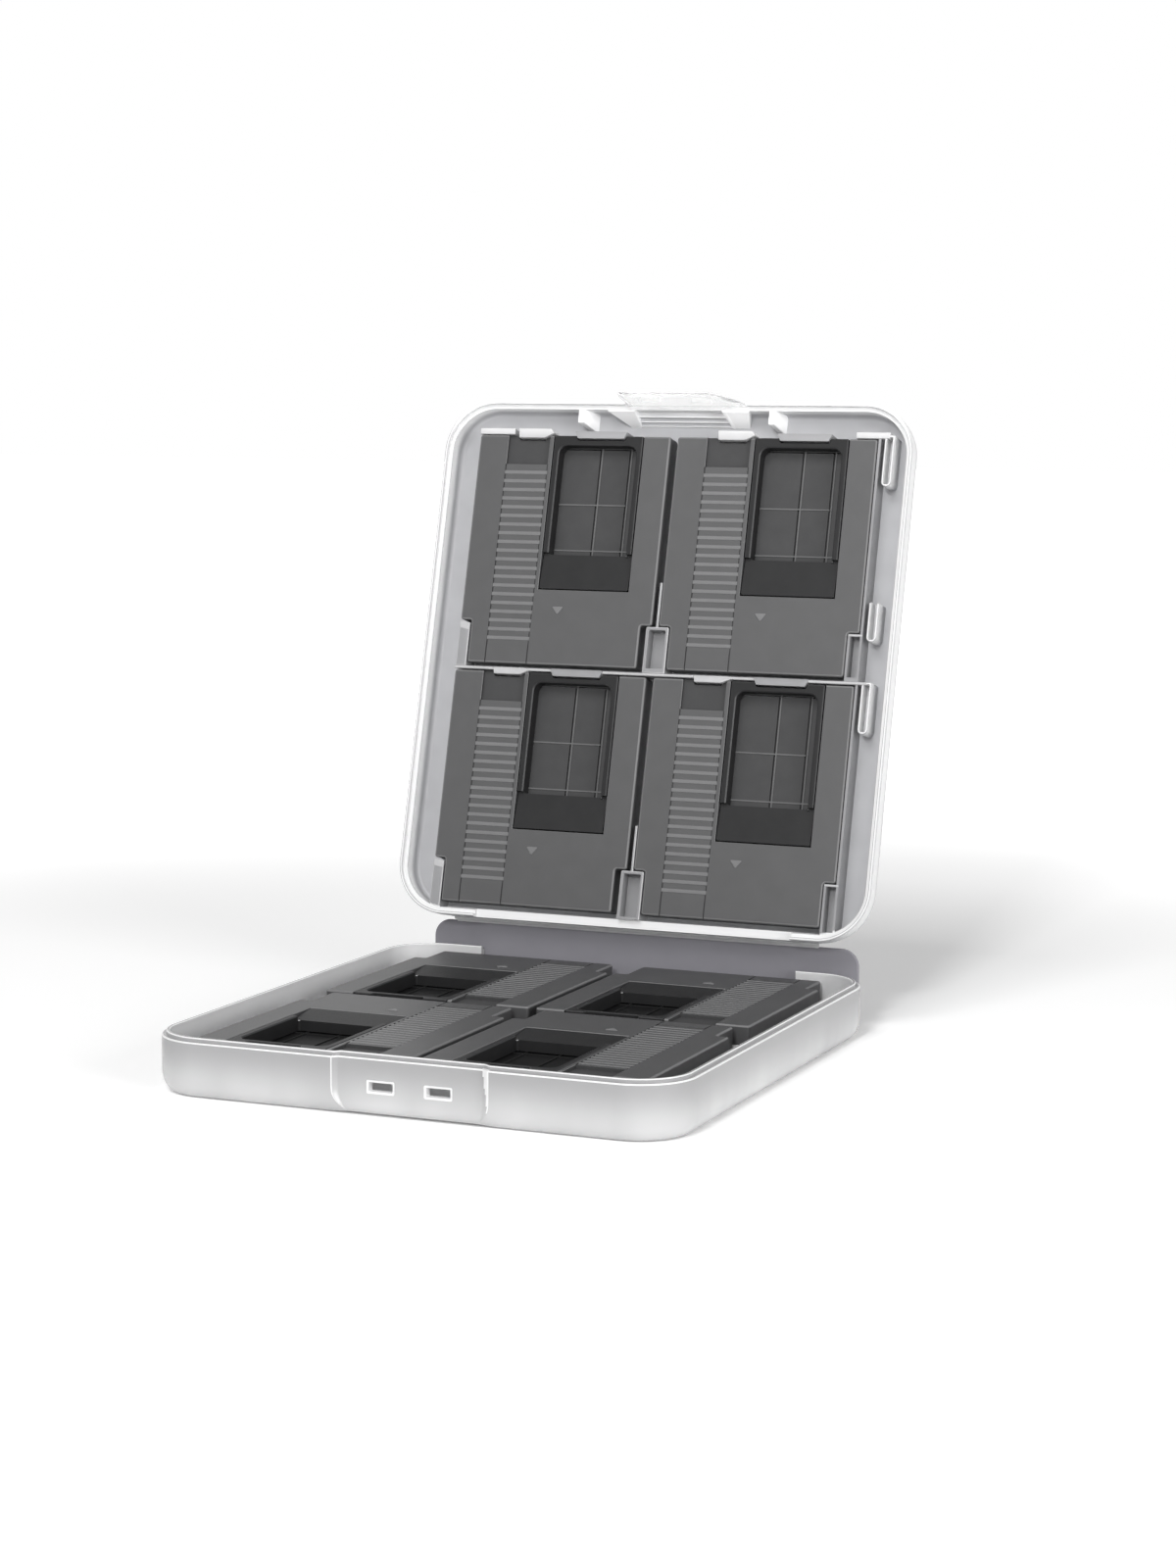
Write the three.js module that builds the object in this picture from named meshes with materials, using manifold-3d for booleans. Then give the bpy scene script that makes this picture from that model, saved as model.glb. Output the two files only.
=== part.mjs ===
// Game card case: a shallow base and lid joined by a folding spine, with card holders in both halves.
// Millimetres, +Z up. The base rests on Z = 0, centred on the origin; its hinge is on +Y, its latch on -Y.
// The case stands open, with the spine upright and the lid leaning back.

import * as THREE from 'three';
import { mergeVertices } from 'three/addons/utils/BufferGeometryUtils.js';
import Module from 'manifold-3d';

const wasm = await Module();
wasm.setup();

// The game card that each holder takes
const cardWidth = 21.3;
const cardLength = 31.1;
const cardThickness = 3.3;

// Clearances
const fitGap = 0.3;
const rimGap = 0.3;
const wellSideClearance = 1.5;
const wellEndClearance = 0.7;
const faceHeadroom = 1.0;

// Card frame: a dark surround with a shallow finger ramp at its lower end
const frameBorder = 1.75;
const frameHead = 2.8;
const rampLength = 10.3;
const rampToe = 2.8;
const wellCornerRadius = 2.5;

// Holder shell, seen from its face: ribbed band on the left, card frame, plain strip on the right, foot
const bandMargin = 9.2;
const bandWidth = 13.2;
const bandGap = 1.5;
const rightStrip = 8.5;
const footHeight = 22.4;
const holderBack = 1.6;
const holderFace = 1.6;
const holderWall = 1.6;
const pocketLength = 8.7;
const pocketDepth = 1.0;
const grooveDepth = 0.6;
const grooveWidth = 1.1;
const groovePitch = 2.6;
const bandFoot = 5.4;
const cornerNotchWidth = 3.5;
const cornerNotchHeight = 12.5;
const arrowWidth = 3.4;
const arrowHeight = 2.5;
const arrowDrop = 5.2;
const arrowRelief = 0.25;
const arrowMargin = 30.5;

// Tabs of the lid that nest in notches along each holder's top edge
const tabDepth = 1.4;
const bandTabMargin = 11.1;
const bandTabWidth = 10.8;
const frameTabInset = 6.2;
const frameTabWidth = 17.1;

// Case
const wall = 2.2;
const baseFloor = 1.6;
const lidFloor = 1.4;
const cornerRadius = 15;
const edgeRound = 3.2;
const baseEdgeRise = 5.5;
const lidEdgeRise = 4.0;
const innerRound = 1.2;
const columnGap = 2.2;
const rowGap = 2.4;
const sideMargin = 8.5;
const hingeMargin = 1.8;
const latchMargin = 8.0;
const supportHeight = 5.7;
const supportThickness = 1.6;
const supportSpacing = 36;
const supportInset = 5;
const faceDrop = 0.8;
const lipThickness = 1.0;
const lipHeight = 1.0;
const guideThickness = 1.2;
const lidGuideDrop = 0.4;
const baseGuideDrop = 3.5;
const guideStep = 0.2;

// Hinge side
const lidLean = THREE.MathUtils.degToRad(14.72);
const beadRadius = 0.6;
const hingeWidth = 112;
const hingeLandDepth = 4;
const hingeLandHeight = 6;
const hingeLandInset = 0.15;
const cutoutWidth = 96.4;
const cutoutShift = 1.5;
const cutoutDepth = 2.5;
const spineThickness = 1.2;
const spineWidth = 130;
const spineShift = 2.2;
const spineEndRadius = 5;

// Latch side
const latchShift = 2.5;
const recessWidth = 40.5;
const recessDepth = 1.2;
const recessBottom = 2.0;
const recessRadius = 3.5;
const padThickness = 1.2;
const padDrop = 2.8;
const slotWidth = 6.9;
const slotHeight = 2.7;
const slotSpacing = 15.5;
const slotDrop = 7.0;
const tongueSideGap = 2.0;
const tongueThickness = 1.4;
const tongueRoot = 5.0;
const tongueEnd = 1.2;
const hookReach = 1.0;
const gussetSpacing = 34;
const gussetThickness = 3.6;
const finSpacing = 59;
const finShift = 1.2;
const finThickness = 3.0;
const finLength = 6.4;
const finDrop = 1.7;

// Lid guides
const postWidth = 6.9;
const postWall = 1.1;
const postPocketDepth = 4.0;
const sidePostWidth = 3.2;
const sideRibThickness = 0.7;
const dividerLength = 13;
const dividerThickness = 0.9;
const returnLength = 14.7;
const returnWidth = 3.0;
const returnWall = 0.8;
const returnGap = 1.8;
const lowerReturnLength = 11.2;
const returnOverlap = 2.0;

// Sizes that follow
const wellWidth = cardWidth + 2 * wellSideClearance;
const wellLength = cardLength + 2 * wellEndClearance;
const frameWidth = wellWidth + 2 * frameBorder;
const frameLength = frameHead + wellLength + rampLength;
const holderWidth = bandMargin + bandWidth + bandGap + frameWidth + rightStrip;
const holderHeight = frameLength + footHeight;
const holderThickness = holderBack + cardThickness + faceHeadroom;
const holderRight = holderWidth / 2;
const holderTop = holderHeight / 2;
const frameRight = holderRight - rightStrip;
const frameLeft = frameRight - frameWidth;
const frameBottom = holderTop - frameLength;
const bandLeft = bandMargin - holderRight;

const columnPitch = holderWidth + columnGap;
const rowPitch = holderHeight + rowGap;
const holdersHalfWidth = (columnPitch + holderWidth) / 2;
const caseWidth = 2 * (holdersHalfWidth + sideMargin + wall);
const caseDepth = rowPitch + holderHeight + hingeMargin + latchMargin + 2 * wall;
const baseHeight = baseFloor + supportHeight + fitGap + holderThickness + faceDrop;
const lidHeight = lidFloor + fitGap + holderThickness + faceDrop;
const back = caseDepth / 2;
const firstRow = wall + hingeMargin;

const lowerHingeHeight = fitGap + spineThickness;
const upperHingeHeight = baseHeight + rimGap + lidHeight;
const seatRadius = beadRadius + fitGap;
const slotZ = baseHeight - slotDrop;
const hookDepth = upperHingeHeight - slotZ;
const tongueFace = caseDepth - recessDepth + fitGap;
const tongueWidth = recessWidth - 2 * tongueSideGap;
const bite = 0.5;

// A solid from a closed three.js geometry
function toSolid(geometry) {
  const bare = geometry.clone();
  bare.deleteAttribute('normal');
  bare.deleteAttribute('uv');
  const merged = mergeVertices(bare, 1e-4);
  const vertProperties = new Float32Array(merged.attributes.position.array);
  const triVerts = new Uint32Array(merged.index.array);
  return new wasm.Manifold(new wasm.Mesh({ numProp: 3, vertProperties, triVerts }));
}

// A box from its low and high value on each axis
function block([x0, x1], [y0, y1], [z0, z1]) {
  const geometry = new THREE.BoxGeometry(x1 - x0, y1 - y0, z1 - z0);
  geometry.translate((x0 + x1) / 2, (y0 + y1) / 2, (z0 + z1) / 2);
  return toSolid(geometry);
}

// A shape in the XY plane raised between two heights
function prism(shape, low, high, curveSegments = 6) {
  const depth = high - low;
  const geometry = new THREE.ExtrudeGeometry(shape, { depth, bevelEnabled: false, curveSegments });
  geometry.translate(0, 0, low);
  return toSolid(geometry);
}

// A shape drawn as X and Z, spread between two values of Y
function uprightPrism(shape, near, far, curveSegments = 6) {
  const depth = far - near;
  const geometry = new THREE.ExtrudeGeometry(shape, { depth, bevelEnabled: false, curveSegments });
  geometry.rotateX(Math.PI / 2);
  geometry.translate(0, far, 0);
  return toSolid(geometry);
}

// A shape drawn as Y and Z, spread between two values of X
function sidePrism(shape, left, right) {
  const geometry = new THREE.ExtrudeGeometry(shape, { depth: right - left, bevelEnabled: false });
  geometry.rotateZ(Math.PI / 2);
  geometry.rotateY(Math.PI / 2);
  geometry.translate(left, 0, 0);
  return toSolid(geometry);
}

// A round bar along X
function barAlongX(radius, length, y, z) {
  const geometry = new THREE.CylinderGeometry(radius, radius, length, 16);
  geometry.rotateZ(Math.PI / 2);
  geometry.translate(0, y, z);
  return toSolid(geometry);
}

function polygon(points) {
  return new THREE.Shape(points.map(([x, y]) => new THREE.Vector2(x, y)));
}

// A rectangle with round corners about the origin
function roundedRectangle(width, height, radius) {
  const x = width / 2 - radius;
  const y = height / 2 - radius;
  const shape = new THREE.Shape();
  shape.absarc(x, y, radius, 0, Math.PI / 2);
  shape.absarc(-x, y, radius, Math.PI / 2, Math.PI);
  shape.absarc(-x, -y, radius, Math.PI, 1.5 * Math.PI);
  shape.absarc(x, -y, radius, 1.5 * Math.PI, 2 * Math.PI);
  return shape;
}

// The case's outline, moved in from its outside
function caseOutline(inset) {
  return roundedRectangle(caseWidth - 2 * inset, caseDepth - 2 * inset, cornerRadius - inset);
}

// A block with the case's outline and a rounded lower edge, from low up to high
function roundedBlock(inset, low, high, round, rise) {
  const geometry = new THREE.ExtrudeGeometry(caseOutline(inset), {
    depth: high - low,
    bevelThickness: rise,
    bevelSize: round,
    bevelOffset: -round,
    bevelSegments: 4,
    curveSegments: 6,
  });
  geometry.translate(0, 0, low + rise);
  const above = block([-caseWidth, caseWidth], [-caseDepth, caseDepth], [high, high + 4 * (high - low)]);
  return toSolid(geometry).subtract(above);
}

// A ring that follows the case's outline between two insets
function outlineRing(outerInset, innerInset, low, high) {
  const outer = prism(caseOutline(outerInset), low, high);
  return outer.subtract(prism(caseOutline(innerInset), low - bite, high + bite));
}

// An open tray: floor and wall
function tray(height, floor, rise) {
  const outer = roundedBlock(0, 0, height, edgeRound, rise);
  return outer.subtract(roundedBlock(wall, floor, height + bite, innerRound, innerRound));
}

function joinAll(solids) {
  return solids.reduce((whole, solid) => whole.add(solid));
}

function toMesh(name, solid, material) {
  const { numProp, vertProperties, triVerts } = solid.getMesh();
  const position = new Float32Array((vertProperties.length / numProp) * 3);
  for (let i = 0; i < position.length / 3; i += 1) {
    position.set(vertProperties.subarray(i * numProp, i * numProp + 3), i * 3);
  }
  const geometry = new THREE.BufferGeometry();
  geometry.setAttribute('position', new THREE.BufferAttribute(position, 3));
  geometry.setIndex(new THREE.BufferAttribute(new Uint32Array(triVerts), 1));
  geometry.computeVertexNormals();
  const mesh = new THREE.Mesh(geometry, material);
  mesh.name = name;
  return mesh;
}

function frostedPlastic() {
  return new THREE.MeshStandardMaterial({ color: 0xdcdee3, roughness: 0.5, metalness: 0 });
}

function spinePlastic() {
  return new THREE.MeshStandardMaterial({ color: 0x77767c, roughness: 0.55, metalness: 0 });
}

function greyPlastic() {
  return new THREE.MeshStandardMaterial({ color: 0x6c6c6e, roughness: 0.6, metalness: 0 });
}

function darkPlastic() {
  return new THREE.MeshStandardMaterial({ color: 0x2f2f31, roughness: 0.5, metalness: 0 });
}

// Holder

// The notch, or the tab that fills it, along a holder's top edge; grow is negative for the tab
function topNotch(left, width, grow) {
  const low = holderTop - tabDepth - grow;
  const high = holderTop + guideThickness;
  const lean = high - low;
  return polygon([
    [left - grow, high],
    [left - grow + lean / 2, low],
    [left + width + grow - lean / 2, low],
    [left + width + grow, high],
  ]);
}

function topNotches(grow) {
  return [
    topNotch(bandTabMargin - holderRight, bandTabWidth, grow),
    topNotch(frameLeft + frameTabInset, frameTabWidth, grow),
  ];
}

// The holder's outline with its two lower corner notches, moved in from its outside
function holderOutline(inset, topInset) {
  const side = holderRight - inset;
  const foot = side - cornerNotchWidth;
  const step = cornerNotchHeight - holderTop + inset;
  const bottom = inset - holderTop;
  const top = holderTop - topInset;
  return polygon([
    [-foot, bottom],
    [foot, bottom],
    [foot, step],
    [side, step],
    [side, top],
    [-side, top],
    [-side, step],
    [-foot, step],
  ]);
}

function cutTopNotches(solid) {
  const notches = topNotches(0).map((shape) => prism(shape, -bite, holderThickness + bite));
  return solid.subtract(joinAll(notches));
}

// Grooves across the band, between the pocket at its top and its plain foot
function bandGrooves() {
  const top = holderTop - pocketLength;
  const bottom = bandFoot - holderTop;
  const count = Math.floor((top - bottom) / groovePitch);
  const x = [bandLeft, bandLeft + bandWidth];
  const z = [holderThickness - grooveDepth, holderThickness + bite];
  const grooves = [];
  for (let i = 0; i < count; i += 1) {
    const y = bottom + i * groovePitch;
    grooves.push(block(x, [y, y + grooveWidth], z));
  }
  return joinAll(grooves);
}

function arrowMark() {
  const x = arrowMargin - holderRight;
  const y = frameBottom - arrowDrop;
  const shape = polygon([
    [x - arrowWidth / 2, y],
    [x, y - arrowHeight],
    [x + arrowWidth / 2, y],
  ]);
  return prism(shape, holderThickness - bite, holderThickness + arrowRelief);
}

function holderShell() {
  const innerTop = tabDepth + holderWall;
  const hollow = prism(holderOutline(holderWall, innerTop), -bite, holderThickness - holderFace);
  const frameWindow = block(
    [frameLeft - fitGap, frameRight + fitGap],
    [frameBottom - fitGap, holderTop + bite],
    [holderBack, holderThickness + bite],
  );
  const pocket = block(
    [bandLeft, bandLeft + bandWidth],
    [holderTop - pocketLength, holderTop + bite],
    [holderThickness - pocketDepth, holderThickness + bite],
  );
  const body = prism(holderOutline(0, 0), 0, holderThickness)
    .subtract(hollow)
    .subtract(frameWindow)
    .subtract(pocket)
    .subtract(bandGrooves())
    .add(arrowMark());
  return cutTopNotches(body);
}

// The card frame: side and head borders round the well, and the ramp that falls into it
function cardFrame() {
  const low = holderBack + fitGap;
  const wellLeft = frameLeft + frameBorder;
  const wellRight = frameRight - frameBorder;
  const wellTop = holderTop - frameHead;
  const wellEnd = frameBottom + rampLength;
  const well = new THREE.Shape();
  well.moveTo(wellLeft, wellEnd);
  well.lineTo(wellRight, wellEnd);
  const arcHeight = wellTop - wellCornerRadius;
  well.absarc(wellRight - wellCornerRadius, arcHeight, wellCornerRadius, 0, Math.PI / 2);
  well.absarc(wellLeft + wellCornerRadius, arcHeight, wellCornerRadius, Math.PI / 2, Math.PI);
  const aboveRamp = polygon([
    [frameBottom, holderThickness],
    [wellEnd, low + rampToe],
    [wellEnd, holderThickness + bite],
    [frameBottom, holderThickness + bite],
  ]);
  const body = block([frameLeft, frameRight], [frameBottom, holderTop], [low, holderThickness])
    .subtract(prism(well, low - bite, holderThickness + bite, 3))
    .subtract(sidePrism(aboveRamp, frameLeft - bite, frameRight + bite));
  return cutTopNotches(body);
}

function holderBackCover() {
  const inset = holderWall + fitGap;
  return prism(holderOutline(inset, inset + tabDepth), 0, holderBack);
}

function holder(name) {
  const group = new THREE.Group();
  group.add(toMesh(`${name}_holder_shell`, holderShell(), greyPlastic()));
  group.add(toMesh(`${name}_card_frame`, cardFrame(), darkPlastic()));
  group.add(toMesh(`${name}_holder_back`, holderBackCover(), greyPlastic()));
  return group;
}

// Base

// Ribs under each holder, and low guides round the four holders
function baseGuides() {
  const floor = baseFloor - bite;
  const supports = [];
  for (const column of [-1, 1]) {
    for (const row of [0, 1]) {
      const middle = back - firstRow - holderHeight / 2 - row * rowPitch;
      const reach = holderHeight / 2 - supportInset;
      for (const side of [-1, 1]) {
        const x = (column * columnPitch) / 2 + (side * supportSpacing) / 2;
        supports.push(block(
          [x - supportThickness / 2, x + supportThickness / 2],
          [middle - reach, middle + reach],
          [floor, baseFloor + supportHeight],
        ));
      }
    }
  }
  const guideTop = baseHeight - faceDrop - baseGuideDrop;
  const crossHeights = [floor, guideTop];
  const alongHeights = [floor, guideTop - guideStep];
  const nearEdge = back - firstRow - rowPitch - holderHeight - fitGap;
  const outside = holdersHalfWidth + fitGap;
  const across = [-outside - guideThickness / 2, outside + guideThickness / 2];
  const along = [nearEdge - guideThickness / 2, back - firstRow - supportInset];
  const rowMiddle = back - firstRow - holderHeight - rowGap / 2;
  const halfColumnGuide = columnGap / 2 - 2 * fitGap;
  return joinAll([
    ...supports,
    block(across, [rowMiddle - guideThickness / 2, rowMiddle + guideThickness / 2], crossHeights),
    block(across, [nearEdge - guideThickness, nearEdge], crossHeights),
    block([-halfColumnGuide, halfColumnGuide], along, alongHeights),
    block([outside, outside + guideThickness], along, alongHeights),
    block([-outside - guideThickness, -outside], along, alongHeights),
  ]);
}

// The shallow recess in the front wall that the latch tongue drops over
function latchRecess() {
  const left = latchShift - recessWidth / 2;
  const right = latchShift + recessWidth / 2;
  const top = baseHeight + lipHeight + bite;
  const shape = new THREE.Shape();
  shape.moveTo(right, top);
  shape.lineTo(left, top);
  shape.absarc(left + recessRadius, recessBottom + recessRadius, recessRadius, Math.PI, 1.5 * Math.PI);
  shape.absarc(right - recessRadius, recessBottom + recessRadius, recessRadius, 1.5 * Math.PI, 2 * Math.PI);
  return uprightPrism(shape, -back - bite, -back + recessDepth);
}

function latchSlot(side) {
  const x = latchShift + (side * slotSpacing) / 2;
  return block(
    [x - slotWidth / 2, x + slotWidth / 2],
    [-back - bite, -back + wall + padThickness + bite],
    [slotZ - slotHeight / 2, slotZ + slotHeight / 2],
  );
}

function baseShell() {
  const hingeHalf = hingeWidth / 2 + 2 * fitGap;
  const land = block(
    [-hingeHalf, hingeHalf],
    [back - hingeLandDepth, back - hingeLandInset],
    [hingeLandInset, hingeLandHeight],
  );
  const inside = roundedBlock(wall, baseFloor, baseHeight + bite, innerRound, innerRound);
  const seat = barAlongX(seatRadius, hingeWidth + 2 * fitGap, back, lowerHingeHeight);
  const seatMouth = block(
    [-hingeWidth / 2 - fitGap, hingeWidth / 2 + fitGap],
    [back - seatRadius, back + bite],
    [-bite, lowerHingeHeight],
  );
  const pad = block(
    [latchShift - recessWidth / 2 + recessRadius, latchShift + recessWidth / 2 - recessRadius],
    [-back + wall - bite, -back + wall + padThickness],
    [baseFloor - bite, baseHeight - padDrop],
  );
  const cutout = block(
    [cutoutShift - cutoutWidth / 2, cutoutShift + cutoutWidth / 2],
    [back - wall - bite, back + bite],
    [baseHeight - cutoutDepth, baseHeight + lipHeight + bite],
  );
  return tray(baseHeight, baseFloor, baseEdgeRise)
    .add(land.subtract(inside))
    .add(outlineRing(wall - lipThickness, wall, baseHeight - bite, baseHeight + lipHeight))
    .add(pad)
    .add(baseGuides())
    .subtract(latchRecess())
    .subtract(latchSlot(-1))
    .subtract(latchSlot(1))
    .subtract(cutout)
    .subtract(seat)
    .subtract(seatMouth);
}

// Lid, in its own frame: Y runs from the hinge to the latch and Z from the outside inwards

// A post with a pocket in its end
function hollowPost(x, y, postSideWall) {
  const top = lidHeight - lidGuideDrop - guideStep;
  const body = block(x, y, [lidFloor - bite, top]);
  const pocket = block(
    [x[0] + postSideWall, x[1] - postSideWall],
    [y[0] + postSideWall + bite, y[1] - postSideWall],
    [top - postPocketDepth, top + bite],
  );
  return body.subtract(pocket);
}

// The rib above a row of holders, with the tabs that hold their top edges
function rowRib(rowTop) {
  const foot = lidFloor - bite;
  const top = lidHeight - lidGuideDrop;
  const rib = block(
    [-holdersHalfWidth, holdersHalfWidth + fitGap + returnGap + returnWidth / 2],
    [rowTop + guideThickness / 2, rowTop + 1.5 * guideThickness],
    [foot, top],
  );
  const tabs = [];
  for (const column of [-1, 1]) {
    for (const shape of topNotches(-fitGap)) {
      const tab = prism(shape, foot, top + guideStep);
      tabs.push(tab.translate([(column * columnPitch) / 2, rowTop - holderTop, 0]));
    }
  }
  return joinAll([rib, ...tabs]);
}

function lidGuides() {
  const dividerHeights = [lidFloor - bite, lidHeight - lidGuideDrop - 2 * guideStep];
  const notchEdge = holdersHalfWidth - cornerNotchWidth + fitGap;
  const ribInside = holdersHalfWidth + fitGap;
  const returns = [ribInside + returnGap, ribInside + returnGap + returnWidth];
  const postTop = lidHeight - lidGuideDrop - guideStep;
  const guides = [];
  for (const row of [0, 1]) {
    const rowBottom = firstRow + row * rowPitch;
    const rowTop = rowBottom + holderHeight;
    const foot = row === 0 ? wall - bite : rowBottom - guideThickness;
    const postSpan = [foot, rowBottom + cornerNotchHeight - fitGap];
    const returnTop = rowTop + guideThickness;
    guides.push(rowRib(rowTop));
    guides.push(hollowPost([-postWidth / 2, postWidth / 2], postSpan, postWall));
    guides.push(hollowPost([notchEdge, ribInside + sideRibThickness], postSpan, returnWall));
    guides.push(block([-notchEdge - sidePostWidth, -notchEdge], postSpan, [lidFloor - bite, postTop]));
    guides.push(block(
      [-dividerThickness / 2, dividerThickness / 2],
      [postSpan[1] - bite, postSpan[1] + dividerLength],
      dividerHeights,
    ));
    guides.push(block(
      [ribInside, ribInside + sideRibThickness],
      [postSpan[1] - bite, rowTop + guideThickness],
      dividerHeights,
    ));
    guides.push(hollowPost(returns, [returnTop - returnLength, returnTop], returnWall));
    if (row === 1) {
      const low = postSpan[1] - returnOverlap;
      guides.push(hollowPost(returns, [low, low + lowerReturnLength], returnWall));
    }
  }
  return joinAll(guides);
}

// A wedge against the lid's front wall
function wallWedge(x, thickness) {
  const frontInside = caseDepth - wall;
  const shape = polygon([
    [frontInside - finLength, lidFloor - bite],
    [frontInside + bite, lidFloor - bite],
    [frontInside + bite, lidHeight - finDrop],
    [frontInside - bite, lidHeight - finDrop],
  ]);
  return sidePrism(shape, x - thickness / 2, x + thickness / 2);
}

function lidShell() {
  const hingeHalf = hingeWidth / 2 + 2 * fitGap;
  const toHinge = [0, caseDepth / 2, 0];
  const shell = tray(lidHeight, lidFloor, lidEdgeRise).translate(toHinge);
  const inside = roundedBlock(wall, lidFloor, lidHeight + bite, innerRound, innerRound).translate(toHinge);
  const land = block(
    [-hingeHalf, hingeHalf],
    [hingeLandInset, hingeLandDepth],
    [hingeLandInset, hingeLandHeight],
  );
  const seat = barAlongX(seatRadius, hingeWidth + 2 * fitGap, 0, 0);
  const rebate = outlineRing(
    wall - lipThickness - fitGap,
    wall + fitGap,
    lidHeight - lipHeight - fitGap,
    lidHeight + bite,
  ).translate(toHinge);
  const cutout = block(
    [cutoutShift - cutoutWidth / 2, cutoutShift + cutoutWidth / 2],
    [-bite, wall + fitGap],
    [lidHeight - cutoutDepth, lidHeight + bite],
  );
  const tongueSeat = block(
    [latchShift - tongueWidth / 2 - fitGap, latchShift + tongueWidth / 2 + fitGap],
    [tongueFace - fitGap, caseDepth + bite],
    [lidHeight - tongueRoot - fitGap, lidHeight + bite],
  );
  return shell
    .add(land.subtract(inside))
    .add(lidGuides())
    .add(wallWedge(finShift - finSpacing / 2, finThickness))
    .add(wallWedge(finShift + finSpacing / 2, finThickness))
    .add(wallWedge(-gussetSpacing / 2, gussetThickness))
    .add(wallWedge(gussetSpacing / 2, gussetThickness))
    .subtract(rebate)
    .subtract(cutout)
    .subtract(tongueSeat)
    .subtract(seat);
}

// The springy tongue, with two hooks that snap into the base's slots
function latchTongue() {
  const end = hookDepth + slotHeight / 2 + tongueEnd;
  const plate = block(
    [latchShift - tongueWidth / 2, latchShift + tongueWidth / 2],
    [tongueFace, tongueFace + tongueThickness],
    [lidHeight - tongueRoot, end],
  );
  const hookHalf = slotHeight / 2 - fitGap;
  const profile = polygon([
    [tongueFace + bite, hookDepth - hookHalf],
    [tongueFace + bite, hookDepth + hookHalf],
    [tongueFace, hookDepth + hookHalf],
    [tongueFace - hookReach, hookDepth - hookHalf / 2],
    [tongueFace - hookReach, hookDepth - hookHalf],
  ]);
  const hooks = [-1, 1].map((side) => {
    const x = latchShift + (side * slotSpacing) / 2;
    return sidePrism(profile, x - slotWidth / 2 + fitGap, x + slotWidth / 2 - fitGap);
  });
  return joinAll([plate, ...hooks]);
}

// Spine

function spinePanel() {
  const low = lowerHingeHeight + seatRadius;
  const high = upperHingeHeight - seatRadius;
  const panel = uprightPrism(
    roundedRectangle(spineWidth, high - low, spineEndRadius),
    back + fitGap,
    back + fitGap + spineThickness,
  );
  return panel.translate([spineShift, 0, (low + high) / 2]);
}

// Assembly

const gameCardCase = new THREE.Group();

const base = new THREE.Group();
base.add(toMesh('base_shell', baseShell(), frostedPlastic()));
gameCardCase.add(base);

const spine = new THREE.Group();
spine.add(toMesh('spine_panel', spinePanel(), spinePlastic()));
const lowerWeb = barAlongX(beadRadius, hingeWidth, back, lowerHingeHeight);
const upperWeb = barAlongX(beadRadius, hingeWidth, back, upperHingeHeight);
spine.add(toMesh('lower_hinge_web', lowerWeb, frostedPlastic()));
spine.add(toMesh('upper_hinge_web', upperWeb, frostedPlastic()));
gameCardCase.add(spine);

const lid = new THREE.Group();
lid.position.set(0, back, upperHingeHeight);
lid.rotation.x = Math.PI / 2 - lidLean;
lid.add(toMesh('lid_shell', lidShell(), frostedPlastic()));
lid.add(toMesh('latch_tongue', latchTongue(), frostedPlastic()));
gameCardCase.add(lid);

for (const [side, column] of [['left', -1], ['right', 1]]) {
  for (const [row, baseName, lidName] of [[0, 'base_rear', 'lid_lower'], [1, 'base_front', 'lid_upper']]) {
    const x = (column * columnPitch) / 2;
    const fromHinge = firstRow + holderHeight / 2 + row * rowPitch;
    const inBase = holder(`${baseName}_${side}`);
    inBase.position.set(x, back - fromHinge, baseFloor + supportHeight + fitGap);
    inBase.rotation.z = Math.PI;
    base.add(inBase);
    const inLid = holder(`${lidName}_${side}`);
    inLid.position.set(x, fromHinge, lidFloor + fitGap);
    lid.add(inLid);
  }
}

export default gameCardCase;
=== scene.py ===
"""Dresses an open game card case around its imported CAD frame.

Each sub-assembly is shaped in millimetres in its own frame and placed in the row frame in metres.
"""

from __future__ import annotations

import logging
import math
from dataclasses import dataclass, field
from enum import Enum, IntEnum
from itertools import product
from typing import Callable, Mapping, Sequence

import bmesh
import bpy
from bpy.types import Material, Mesh, NodeSocket, NodeTree, Object
from mathutils import Matrix, Vector

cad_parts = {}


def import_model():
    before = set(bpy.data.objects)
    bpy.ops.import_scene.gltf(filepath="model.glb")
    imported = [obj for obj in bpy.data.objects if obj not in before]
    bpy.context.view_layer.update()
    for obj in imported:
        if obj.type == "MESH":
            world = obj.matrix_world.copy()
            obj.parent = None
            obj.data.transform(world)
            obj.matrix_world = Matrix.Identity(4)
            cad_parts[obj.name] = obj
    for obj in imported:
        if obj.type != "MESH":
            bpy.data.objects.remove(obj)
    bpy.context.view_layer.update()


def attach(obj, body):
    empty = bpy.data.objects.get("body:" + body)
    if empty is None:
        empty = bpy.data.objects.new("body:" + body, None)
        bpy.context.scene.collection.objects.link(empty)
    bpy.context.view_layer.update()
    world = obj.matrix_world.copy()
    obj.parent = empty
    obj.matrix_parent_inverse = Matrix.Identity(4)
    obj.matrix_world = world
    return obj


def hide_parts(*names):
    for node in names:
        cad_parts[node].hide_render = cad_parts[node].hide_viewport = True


LOG = logging.getLogger("card_case")

Point = tuple[float, float]
Outline = list[Point]
Colour = tuple[float, float, float]

MM = 0.001
# How far a solid reaches into the one that it is joined to or cut from
BITE = 0.5
# Points closer than this are merged
MERGE = 0.0005
SHARP_ANGLE = math.radians(38)
EVEN_WEIGHT = 50
# Segments in a rounding, from the trays' wide lower edges down to the smallest fillets
EDGE_STEPS = 10
WIDE_STEPS = 6
ROUND_STEPS = 5
SOFT_STEPS = 3
SMALL_STEPS = 2
BAR_SIDES = 24
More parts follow.
